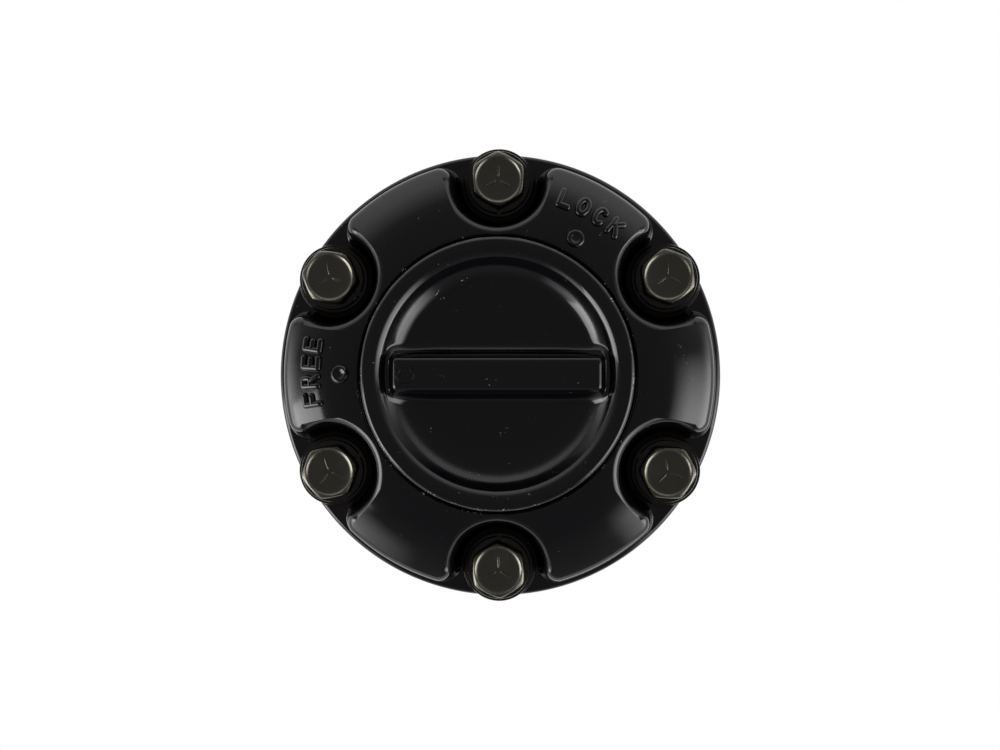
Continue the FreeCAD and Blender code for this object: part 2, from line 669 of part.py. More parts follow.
def make_cam_sleeve():
    """The pins of the follower run in three helical slots, open at the foot for assembly."""
    body = new_body("cam_sleeve")
    turned(body, "tube", [
        (SLEEVE_IN, SLEEVE_END),
        (SLEEVE_OUT, SLEEVE_END),
        (SLEEVE_OUT, SHELF_LOW),
        (SLEEVE_IN, SHELF_LOW),
    ])
    inside = f"({SLEEVE_IN} - Sizes.moving_gap)"
    outside = f"({SLEEVE_OUT} + Sizes.moving_gap)"
    half = "(Sizes.follower_pin / 2 + Sizes.slot_play)"
    share = "(Sizes.slot_overrun / Sizes.lock_angle)"
    start = f"({PIN_LEVEL} + Sizes.shift_travel * {share})"
    section = new_sketch(body, "slot_section", "XZ_Plane", turn="Sizes.slot_overrun")
    outline(section, [
        (inside, f"{start} - {half}"),
        (outside, f"{start} - {half}"),
        (outside, f"{start} + {half}"),
        (inside, f"{start} + {half}"),
    ])
    slot = body.newObject("PartDesign::SubtractiveHelix", "slot")
    slot.Profile = section
    slot.ReferenceAxis = (origin_plane(body, "Z_Axis"), [""])
    slot.Mode = "height-turns-angle"
    slot.setExpression("Height", f"Sizes.shift_travel * (1 + 2 * {share})")
    slot.setExpression("Turns", "(Sizes.lock_angle + 2 * Sizes.slot_overrun) / 360")
    slot.Reversed = True
    DOC.recompute()
    repeat(body, "slots", slot, "Sizes.follower_count")
    return body


# Cover

def recess_outline():
    """Plan of one bolt recess about the bolt on the X axis: its round inner end and the
    rounded corners of the two lobes beside it, which touch the lobes' outer wall."""
    width = "Sizes.recess_radius"
    corner = "Sizes.petal_corner"
    outer = f"({PETAL} + Sizes.corner_run_out)"
    reach = f"({outer} - {corner})"
    apart = f"({width} + {corner})"
    centre_x = f"(({BOLT_RADIUS}^2 + {reach}^2 - {apart}^2) / (2 * {BOLT_RADIUS}))"
    centre_y = f"sqrt({reach}^2 - {centre_x}^2)"
    near_x = f"({BOLT_RADIUS} + ({centre_x} - {BOLT_RADIUS}) * {width} / {apart})"
    near_y = f"({centre_y} * {width} / {apart})"
    far_x = f"({centre_x} * {outer} / {reach})"
    far_y = f"({centre_y} * {outer} / {reach})"
    run = "(2 * Sizes.petal_corner)"
    wide_x = f"({far_x} - {far_y} * {run} / {outer})"
    wide_y = f"({far_y} + {far_x} * {run} / {outer})"
    out = f"({FLANGE} + {run})"
    return [
        (f"{BOLT_RADIUS} - {width}", "0", width),
        (near_x, f"-{near_y}", f"-{corner}"),
        (far_x, f"-{far_y}"),
        (wide_x, f"-{wide_y}"),
        (out, f"-{wide_y}"),
        (out, wide_y),
        (wide_x, wide_y),
        (far_x, far_y, f"-{corner}"),
        (near_x, near_y, width),
    ]


def seat_outline():
    """Plan of the raised seat under a washer, which ends at the edge of the flange."""
    seat = "(Sizes.pad_dia / 2)"
    end = f"({FLANGE} - Sizes.flange_edge)"
    meet_x = f"(({end}^2 + {BOLT_RADIUS}^2 - {seat}^2) / (2 * {BOLT_RADIUS}))"
    meet_y = f"sqrt({end}^2 - {meet_x}^2)"
    return [
        (meet_x, f"-{meet_y}", end),
        (meet_x, meet_y, seat),
        (f"{BOLT_RADIUS} - {seat}", "0", seat),
    ]


def is_recess_rim(edge):
    """True for the edges between the domed front and the wall of a bolt recess."""
    low = value(f"{FRONT} + Sizes.petal_edge_height - Sizes.shoulder / 2")
    inside = value(f"{KNOB_BORE} + Sizes.flange_edge") + NEAR
    middle = edge.valueAt((edge.FirstParameter + edge.LastParameter) / 2)
    sloping = edge.BoundBox.ZLength > NEAR
    return sloping and middle.z > low and math.hypot(middle.x, middle.y) > inside


def make_cover():
    body = new_body("cover")
    chamfer = "Sizes.flange_edge"
    edge = "Sizes.petal_edge_height"
    crown = f"({FRONT} + Sizes.crown_height)"
    spigot_in = f"({SPIGOT} - Sizes.spigot_wall)"
    track = f"({BALL} + Sizes.detent_play)"
    turned(body, "casting", [
        (COVER_BORE, SHELF_LOW),
        (SLEEVE_OUT, SHELF_LOW),
        (SLEEVE_OUT, JOINT),
        (spigot_in, JOINT),
        (spigot_in, f"{JOINT} - Sizes.spigot_length"),
        (f"{SPIGOT} - Sizes.seat_gap", f"{JOINT} - Sizes.spigot_length"),
        (f"{SPIGOT} - Sizes.seat_gap", JOINT),
        (FLANGE, JOINT),
        (FLANGE, f"{FRONT} - {chamfer}"),
        (f"{FLANGE} - {chamfer}", FRONT),
        (PETAL, FRONT),
        (f"{PETAL} - {edge} * tan(Sizes.cast_draft)", f"{FRONT} + {edge}", "Sizes.crown_curve"),
        (f"{KNOB_BORE} + {chamfer}", crown),
        (KNOB_BORE, f"{crown} - {chamfer}"),
        (KNOB_BORE, SHELF_TOP),
        (f"{DETENT} + {track}", SHELF_TOP),
        (f"{DETENT} + {track}", BALL_TRACK),
        (f"{DETENT} - {track}", BALL_TRACK),
        (f"{DETENT} - {track}", SHELF_TOP),
        (COVER_BORE, SHELF_TOP),
    ])
    lobe_edge = value(f"{FRONT} + {edge}")
    round_edges(
        body, "shoulder", "Sizes.shoulder",
        lambda e: abs(e.BoundBox.ZMin - lobe_edge) < NEAR and e.BoundBox.ZLength < NEAR,
    )
    plan = new_sketch(body, "recess_shape", "XY_Plane", FRONT, "Sizes.first_bolt")
    outline(plan, recess_outline())
    recess = pocket(
        body, "bolt_recess", plan, "Sizes.crown_height + Sizes.cut_past",
        draft="Sizes.cast_draft",
    )
    repeat(body, "bolt_recesses", recess, "Sizes.bolt_count")
    round_edges(body, "recess_rims", "Sizes.recess_edge", is_recess_rim)
    pad_top = new_sketch(body, "seat_shape", "XY_Plane", FRONT, "Sizes.first_bolt")
    outline(pad_top, seat_outline())
    seat = pad(body, "bolt_seat", pad_top, "Sizes.pad_height")
    repeat(body, "bolt_seats", seat, "Sizes.bolt_count")
    hole = new_sketch(body, "hole_shape", "XY_Plane", JOINT, "Sizes.first_bolt")
    circle(hole, BOLT_RADIUS, "0", "Sizes.bolt_hole / 2")
    holes = pocket(body, "bolt_hole", hole, "Sizes.cover_flange + Sizes.pad_height")
    repeat(body, "bolt_holes", holes, "Sizes.bolt_count")
    core = new_sketch(
        body, "core_shape", "XY_Plane", JOINT, "Sizes.first_bolt + 180 / Sizes.bolt_count"
    )
    near = "(Sizes.lobe_core_in / 2)"
    far = "(Sizes.lobe_core_out / 2)"
    half = "Sizes.lobe_core_angle"
    outline(core, [
        (*polar(near, f"-{half}"), near),
        polar(near, half),
        (*polar(far, half), f"-{far}"),
        polar(far, f"-{half}"),
    ])
    cores = pocket(body, "lobe_core", core, "Sizes.cover_flange + Sizes.lobe_core_height")
    repeat(body, "lobe_cores", cores, "Sizes.bolt_count")
    for name, turn in (("free", "0"), ("lock", "-Sizes.lock_angle")):
        place = f"Sizes.detent_place + {turn}"
        notch = new_sketch(body, name + "_notch_shape", "XY_Plane", BALL_TRACK, place)
        circle(notch, DETENT, "0", "Sizes.detent_notch_dia / 2")
        pocket(body, name + "_notch", notch, "Sizes.detent_dimple", upward=False)
    return body


# Control knob with its seal ring, snap ring and detent

def is_bar_foot(edge):
    """True for the edges between the grip bar and the bowl round it."""
    low = value(f"{BOWL_FLOOR} - Sizes.bowl_middle_drop")
    high = value(f"{BOWL_FLOOR} + 2 * Sizes.bar_foot")
    middle = edge.valueAt((edge.FirstParameter + edge.LastParameter) / 2)
    return low < middle.z < high and abs(middle.y) < value("Sizes.bar_width")


def is_bar_edge(edge):
    """True for the edges of the top of the grip bar and the four upright ones."""
    low = value(f"{BOWL_FLOOR} + 2 * Sizes.bar_foot")
    reach = value("Sizes.bar_length / 2 + Sizes.cut_past")
    middle = edge.valueAt((edge.FirstParameter + edge.LastParameter) / 2)
    return middle.z > low and math.hypot(middle.x, middle.y) < reach


def make_control_knob():
    body = new_body("control_knob")
    ring_low = f"({SHELF_LOW} + {SHELF_TOP} - Sizes.ring_section) / 2"
    ring_floor = f"({STEM} - Sizes.ring_section + Sizes.running_gap)"
    snap_low = f"({KNOB_RING_LOW} - Sizes.seat_gap)"
    snap_high = f"({KNOB_RING_TOP} + Sizes.seat_gap)"
    edge = f"({FRONT} + Sizes.knob_edge_height)"
    turned(body, "casting", [
        ("0", KNOB_CEILING),
        (STEM_BORE, KNOB_CEILING),
        (STEM_BORE, STEM_END),
        (STEM, STEM_END),
        (STEM, snap_low),
        (SNAP_FLOOR, snap_low),
        (SNAP_FLOOR, snap_high),
        (STEM, snap_high),
        (STEM, f"{ring_low} - Sizes.seat_gap"),
        (ring_floor, f"{ring_low} - Sizes.seat_gap"),
        (ring_floor, f"{ring_low} + Sizes.ring_section + Sizes.seat_gap"),
        (STEM, f"{ring_low} + Sizes.ring_section + Sizes.seat_gap"),
        (STEM, KNOB_LOW),
        (KNOB, KNOB_LOW),
        (KNOB, edge, "Sizes.crest_curve"),
        (CREST_RADIUS, CREST, "Sizes.rim_rounding"),
        ("Sizes.rim_inner_dia / 2", f"{CREST} - Sizes.rim_inner_drop", "-Sizes.bowl_curve"),
        ("Sizes.bowl_floor_dia / 2", BOWL_FLOOR),
        ("0", f"{BOWL_FLOOR} - Sizes.bowl_middle_drop"),
    ])
    top = f"({CREST} - Sizes.bar_drop)"
    bar = new_sketch(body, "bar_shape", "XY_Plane", top)
    length = "Sizes.bar_length / 2"
    width = "Sizes.bar_width / 2"
    outline(bar, [
        (f"-{length}", f"-{width}"),
        (length, f"-{width}"),
        (length, width),
        (f"-{length}", width),
    ])
    pad(
        body, "bar", bar, f"{top} - {BOWL_FLOOR} + Sizes.bowl_middle_drop + Sizes.cut_past",
        downward=True, draft="Sizes.bar_draft",
    )
    round_edges(body, "bar_edge_rounding", "Sizes.bar_edge", is_bar_edge)
    round_edges(body, "bar_foot_rounding", "Sizes.bar_foot", is_bar_foot)
    slot = new_sketch(body, "lug_slot_shape", "XY_Plane", STEM_END)
    half = "(Sizes.lug_width / 2 + Sizes.lug_play)"
    near = f"({STEM_BORE} - Sizes.cut_past)"
    outline(slot, rectangle(near, f"({STEM} + Sizes.cut_past)", half))
    slots = pocket(body, "lug_slot", slot, f"{LUG_TOP} + Sizes.moving_gap - {STEM_END}")
    repeat(body, "lug_slots", slots, "Sizes.follower_count")
    hole = new_sketch(body, "detent_hole_shape", "XY_Plane", KNOB_LOW, "Sizes.detent_place")
    circle(hole, DETENT, "0", f"({BALL} + Sizes.detent_play)")
    depth = f"{BALL_LEVEL} + {BALL} + Sizes.detent_spring_length - {KNOB_LOW}"
    pocket(body, "detent_hole", hole, depth)
    return body


def make_detent_ball():
    ball = DOC.addObject("Part::Sphere", "detent_ball")
    ball.Label = "detent_ball"
    ball.setExpression("Radius", BALL)
    ball.setExpression("Placement.Base.x", f"{DETENT} * cos(Sizes.detent_place)")
    ball.setExpression("Placement.Base.y", f"{DETENT} * sin(Sizes.detent_place)")
    ball.setExpression("Placement.Base.z", BALL_LEVEL)
    SUB_PARTS.append(ball)


def make_seal_rings():
    seal_ring("cover_o_ring", COVER_RING, RING_HALF, f"{JOINT} - {RING_HALF}")
    inside = f"({STEM} - Sizes.ring_section + 2 * Sizes.running_gap)"
    section = f"(({COVER_BORE} - Sizes.running_gap - {inside}) / 2)"
    level = f"({SHELF_LOW} + {SHELF_TOP}) / 2"
    seal_ring("knob_o_ring", f"{inside} + {section}", f"min({section}; {RING_HALF})", level)
    inside = f"({STEM} - Sizes.snap_ring_depth + Sizes.seat_gap)"
    snap_ring("knob_snap_ring", inside, KNOB_RING_LOW)


# Bolts and washers

def make_hub_bolts():
    body = new_body("hub_bolts")
    corner = "(Sizes.head_across / sqrt(3))"
    tip = f"({HEAD_LOW} - Sizes.bolt_length)"
    thread = "(Sizes.bolt_dia / 2)"
    shank = "(Sizes.bolt_shank_dia / 2)"
    shape = new_sketch(body, "bolt_section", "XZ_Plane", turn="Sizes.first_bolt")
    chamfer = "Sizes.head_rounding"
    dish = "(Sizes.head_across / 2 - Sizes.head_rounding)"
    outline(shape, [
        (BOLT_RADIUS, tip),
        (f"{BOLT_RADIUS} + {thread} - Sizes.bolt_tip_chamfer", tip),
        (f"{BOLT_RADIUS} + {thread}", f"{tip} + Sizes.bolt_tip_chamfer"),
        (f"{BOLT_RADIUS} + {thread}", "0"),
        (f"{BOLT_RADIUS} + {shank}", f"{thread} - {shank}"),
        (f"{BOLT_RADIUS} + {shank}", HEAD_LOW),
        (f"{BOLT_RADIUS} + {corner}", HEAD_LOW),
        (f"{BOLT_RADIUS} + {corner}", f"{HEAD_TOP} - {chamfer}"),
        (f"{BOLT_RADIUS} + Sizes.head_across / 2 - {chamfer} / 2", HEAD_TOP),
        (f"{BOLT_RADIUS} + {dish}", HEAD_TOP),
        (f"{BOLT_RADIUS} + {dish} - Sizes.head_dish", f"{HEAD_TOP} - Sizes.head_dish"),
        (BOLT_RADIUS, f"{HEAD_TOP} - Sizes.head_dish"),
    ])
    foot = Vector(value(BOLT_RADIUS), value(tip), 0)
    top = Vector(value(BOLT_RADIUS), value(HEAD_TOP), 0)
    axis = shape.addGeometry(Part.LineSegment(foot, top), True)
    for end, level in ((1, tip), (2, HEAD_TOP)):
        hold(shape, "DistanceX", axis, end, BOLT_RADIUS)
        hold(shape, "DistanceY", axis, end, level)
    bolt = body.newObject("PartDesign::Revolution", "bolt")
    bolt.Profile = shape
    bolt.ReferenceAxis = (shape, ["Axis0"])
    bolt.Angle = 360
    DOC.recompute()
    repeat(body, "bolts", bolt, "Sizes.bolt_count")
    for index, turn in enumerate(HEAD_TURNS):
        place = f"Sizes.first_bolt + {index} * 360 / Sizes.bolt_count"
        flats = new_sketch(body, f"hexagon_{index}_shape", "XY_Plane", HEAD_LOW, place)
        turns = [f"{turn + 60 * side}" for side in range(6)]
        outline(flats, [
            (f"{BOLT_RADIUS} + {corner} * cos({at})", f"{corner} * sin({at})") for at in turns
        ])
        circle(flats, BOLT_RADIUS, "0", "Sizes.head_across")
        pocket(body, f"hexagon_{index}", flats, "Sizes.head_height")
    return body


def make_washers(name, dia, low, thick, split=None):
    body = new_body(name)
    shape = new_sketch(body, name + "_shape", "XY_Plane", low, "Sizes.first_bolt")
    circle(shape, BOLT_RADIUS, "0", f"{dia} / 2")
    circle(shape, BOLT_RADIUS, "0", "Sizes.bolt_dia / 2 + Sizes.washer_play")
    ring = pad(body, name + "_ring", shape, thick)
    repeat(body, name + "_rings", ring, "Sizes.bolt_count")
    if split is None:
        return body
    gap = new_sketch(body, name + "_gap_shape", "XY_Plane", low, "Sizes.first_bolt")
    outline(gap, rectangle(f"({BOLT_RADIUS} - {dia})", BOLT_RADIUS, f"({split} / 2)"))
    cut = pocket(body, name + "_gap", gap, thick)
    repeat(body, name + "_gaps", cut, "Sizes.bolt_count")
    return body


def check_all():
    """Stops before anything is written when an object or a shape is at fault."""
    for item in DOC.Objects:
        if "Invalid" in item.State or "Error" in item.State:
            raise RuntimeError(f"{item.Label}: {item.State}")
    for item in SUB_PARTS:
        if item.Shape.isNull() or not item.Shape.isValid():
            raise RuntimeError(f"{item.Label}: shape at fault")


def main():
    fill_sheet()
    make_hub_body()
    make_inner_hub()
    make_bush()
    make_thrust_washer()
    make_inner_hub_snap_ring()
    make_clutch_ring()
    make_springs()
    make_follower()
    make_cam_sleeve()
    make_cover()
    make_control_knob()
    make_seal_rings()
    make_detent_ball()
    make_hub_bolts()
    make_washers(
        "spring_washers", "Sizes.spring_washer_dia", PLAIN_TOP, "Sizes.spring_washer_thick",
        "Sizes.spring_washer_split",
    )
    make_washers("plain_washers", "Sizes.plain_washer_dia", PAD, "Sizes.plain_washer_thick")
    DOC.recompute()
    check_all()
    os.makedirs("parts", exist_ok=True)
    for item in SUB_PARTS:
        item.Shape.exportStep(f"parts/{item.Label}.step")


main()
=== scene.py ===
import logging
import math
from dataclasses import dataclass
from enum import Enum
from typing import Callable, Optional, Sequence

import bmesh
import bpy
import numpy as np
from mathutils import Matrix, Vector


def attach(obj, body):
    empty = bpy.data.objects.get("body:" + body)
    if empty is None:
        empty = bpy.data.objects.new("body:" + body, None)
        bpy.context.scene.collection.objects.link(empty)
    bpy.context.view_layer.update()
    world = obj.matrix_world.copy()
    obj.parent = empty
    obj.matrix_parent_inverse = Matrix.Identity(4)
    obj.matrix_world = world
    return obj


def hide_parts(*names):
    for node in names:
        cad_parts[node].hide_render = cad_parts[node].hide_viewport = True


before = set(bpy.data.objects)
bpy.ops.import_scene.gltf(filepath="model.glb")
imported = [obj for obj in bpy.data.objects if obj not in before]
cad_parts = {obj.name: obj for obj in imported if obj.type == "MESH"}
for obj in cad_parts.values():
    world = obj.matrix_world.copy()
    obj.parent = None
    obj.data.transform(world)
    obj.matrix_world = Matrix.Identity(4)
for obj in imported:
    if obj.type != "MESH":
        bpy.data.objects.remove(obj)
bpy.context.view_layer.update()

# The looks of a manual locking hub that stands on its bolts with the control knob up.
# Shapes are drawn in millimetres and made metres when a piece is finished.

LOG = logging.getLogger("locking_hub")
MM = 0.001
Point = tuple[float, float, float]
Flat = tuple[float, float]
Placer = Callable[[int], Point]

FLANGE_FRONT = 39.5
JOINT = 35.0
BOLT_RADIUS = 45.5
BOLT_ANGLES = (30, 90, 150, 210, 270, 330)
HEAD_TURNS = (8, 0, 22, 41, 3, 27)
CHIP_MM = 0.45
PATCH_MM = 10 / 9


class Body(Enum):
    """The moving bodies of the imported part."""

    CASING = "casing"
    KNOB = "knob"


class Slot(Enum):
    """The material slots of the finishes."""

    PAINT = "painted_casting"
    BOLT = "bolt_steel"
    WASHER = "washer_steel"
    GEAR = "gear_steel"
    SPRING = "spring_steel"
    BRONZE = "bronze"
    RUBBER = "seal_rubber"


def polar(radius: float, degrees: float) -> Flat:
    """Gives the point at a radius and an angle about the axle."""
    turn = math.radians(degrees)
    return radius * math.cos(turn), radius * math.sin(turn)


def blend(start: float, end: float, share: float) -> float:
    """Goes from start to end as share goes from 0 to 1."""
    return start + (end - start) * share


def arc_points(start: Flat, end: Flat, radius: float, steps: int) -> list[Flat]:
    """Samples an arc between two points.

    Args:
        start: First point.
        end: Last point.
        radius: Signed radius: positive turns left on its way, negative turns right.
        steps: How many steps the arc takes.

    Returns:
        The points from start to end, both included.
    """
    chord = Vector(end) - Vector(start)
    depth = math.sqrt(max(radius * radius - chord.length_squared / 4, 0.0))
    across = Vector((-chord.y, chord.x)).normalized() * math.copysign(depth, radius)
    centre = (Vector(start) + Vector(end)) / 2 + across
    low = math.atan2(start[1] - centre.y, start[0] - centre.x)
    high = math.atan2(end[1] - centre.y, end[0] - centre.x)
    if radius > 0 and high < low:
        high += 2 * math.pi
    if radius < 0 and high > low:
        high -= 2 * math.pi
    size = abs(radius)
    turns = [blend(low, high, step / steps) for step in range(steps + 1)]
    return [(centre.x + size * math.cos(t), centre.y + size * math.sin(t)) for t in turns]


def soften(points: Sequence[Flat], rounds: int) -> list[Flat]:
    """Rounds the kinks of a finely divided line, whose ends stay.

    Args:
        points: The line.
        rounds: How often each point moves towards its neighbours.

    Returns:
        The softened line.
    """
    line = np.array(points, dtype=float)
    for _ in range(rounds):
        line[1:-1] = line[1:-1] / 2 + (line[:-2] + line[2:]) / 4
    return [(float(x), float(y)) for x, y in line]


def evenly(points: Sequence[Flat], step: float) -> list[Flat]:
    """Divides a line into equal steps of about the given length."""
    line = np.array(points, dtype=float)
    runs = np.hypot(*np.diff(line, axis=0).T)
    along = np.concatenate(([0.0], np.cumsum(runs)))
    places = np.linspace(0.0, along[-1], max(int(along[-1] / step), 1) + 1)
    return list(zip(np.interp(places, along, line[:, 0]), np.interp(places, along, line[:, 1])))


Ring = tuple[list[bmesh.types.BMVert], list[bmesh.types.BMEdge]]


def extrude_ring(mesh: bmesh.types.BMesh, edges: list[bmesh.types.BMEdge]) -> Ring:
    """Extrudes a closed line of edges.

    Args:
        mesh: The mesh that the line belongs to.
        edges: The line.

    Returns:
        The points and the edges of the new line, which lies on the old one.
    """
    made = bmesh.ops.extrude_edge_only(mesh, edges=edges)["geom"]
    verts = [item for item in made if isinstance(item, bmesh.types.BMVert)]
    fresh = set(verts)
    lines = (item for item in made if isinstance(item, bmesh.types.BMEdge))
    return verts, [edge for edge in lines if fresh.issuperset(edge.verts)]


class RingSurface:
    """A surface grown ring by ring: each new ring is extruded from the last and moved."""

    def __init__(self, count: int, first: Placer, rim: float = 0.0) -> None:
        """Starts with a circle of points.

        Args:
            count: Points in each ring.
            first: Gives the place of each point of the first ring.
            rim: How much this ring takes the lighter rim colour of its finish, partly wear and partly
                painted highlight.
        """
        self.mesh = bmesh.new()
        self.index = self.mesh.verts.layers.int.new("index")
        # The rim layer marks where a finish lightens its colour: partly wear, partly painted
        # highlight.
        self.rim = self.mesh.verts.layers.float.new("rim")
        made = bmesh.ops.create_circle(self.mesh, segments=count, radius=1.0)
        self.verts = list(made["verts"])
        self.edges = list(self.mesh.edges)
        for place, vert in enumerate(self.verts):
            vert[self.index] = place
        self._settle(first, rim)

    def _settle(self, place: Placer, rim: float) -> None:
        """Puts the points of the newest ring in their places."""
        for vert in self.verts:
            vert.co = place(vert[self.index])
            vert[self.rim] = rim

    def add(self, place: Placer, rim: float = 0.0) -> "RingSurface":
        """Extrudes one more ring and moves its points.

        Args:
            place: Gives the place of each point.
            rim: How much this ring takes the lighter rim colour of its finish, partly wear and partly
                painted highlight.

        Returns:
            This surface.
        """
        self.verts, self.edges = extrude_ring(self.mesh, self.edges)
        self._settle(place, rim)
        return self

    def lathe(self, profile: Sequence[Flat], centre: Flat = (0.0, 0.0)) -> "RingSurface":
        """Adds one circular ring for each (radius, height) of a profile."""
        for radius, height in profile:
            self.add(circle_placer(self.size, radius, height, centre))
        return self

    @property
    def size(self) -> int:
        """Counts the points in a ring."""
        return len(self.verts)

    def close_to_point(self, place: Point) -> "RingSurface":
        """Draws the newest ring together in one point."""
        bmesh.ops.pointmerge(self.mesh, verts=self.verts, merge_co=place)
        return self

    def cap(self) -> "RingSurface":
        """Closes the newest ring with a flat face."""
        bmesh.ops.contextual_create(self.mesh, geom=self.edges)
        return self


def circle_placer(count: int, radius: float, height: float, centre: Flat = (0.0, 0.0)) -> Placer:
    """Places a ring on a level circle.

    Args:
        count: Points in the ring.
        radius: The circle's radius.
        height: Its level.
        centre: Its centre, seen from the front.

    Returns:
        A function that gives each point's place.
    """

    def place(index: int) -> Point:
        """Gives the place of one point."""
        x, y = polar(radius, 360 * index / count)
        return centre[0] + x, centre[1] + y, height

    return place


def finish_piece(
    name: str, meshes: Sequence[bmesh.types.BMesh], material: bpy.types.Material,
    body: Body, slot: Slot, replaced: Sequence[str] = (), sharp: float = 38.0,
) -> bpy.types.Object:
    """Joins bmeshes drawn in millimetres into one piece of the scene.

    Args:
        name: The piece's name.
        meshes: Its parts, which are freed.
        material: Its finish.
        body: The body that it moves with.
        slot: The slot of the piece's finish; not used.
        replaced: The nodes that it stands for.
        sharp: Edges that turn by more degrees than this stay sharp.

    Returns:
        The new object.
    """
    data = bpy.data.meshes.new(name)
    joined = bmesh.new()
    for part in meshes:
        bmesh.ops.remove_doubles(part, verts=part.verts, dist=0.0004)
        bmesh.ops.recalc_face_normals(part, faces=part.faces)
        bmesh.ops.scale(part, vec=(MM, MM, MM), verts=part.verts)
        part.to_mesh(data)
        part.free()
        joined.from_mesh(data)
    joined.to_mesh(data)
    joined.free()
    data.shade_smooth()
    data.set_sharp_from_angle(angle=math.radians(sharp))
    data.materials.append(material)
    piece = bpy.data.objects.new(name, data)
    bpy.context.scene.collection.objects.link(piece)
    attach(piece, body.value)
    if replaced:
        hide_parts(*replaced)
    LOG.info("%s: %d faces", name, len(data.polygons))
    return piece


@dataclass(frozen=True)
class EdgePoint:
    """A point of the line where the walls of the lobes meet the flange."""

    x: float
    y: float
    out_x: float
    out_y: float
    outer: float
    spoke: float
    rim_angle: float


@dataclass(frozen=True)
class WallTop:
    """The rounding between the dome and the wall, over one point of the foot line."""

    start: Vector
    corner: Vector
    end: Vector
    weight: float

    def at(self, share: float) -> Vector:
        """Gives the point of the rounding, from the dome at 0 to the wall at 1."""
        a, b, c = (1 - share) ** 2, 2 * self.weight * share * (1 - share), share**2
        return (self.start * a + self.corner * b + self.end * c) / (a + b + c)


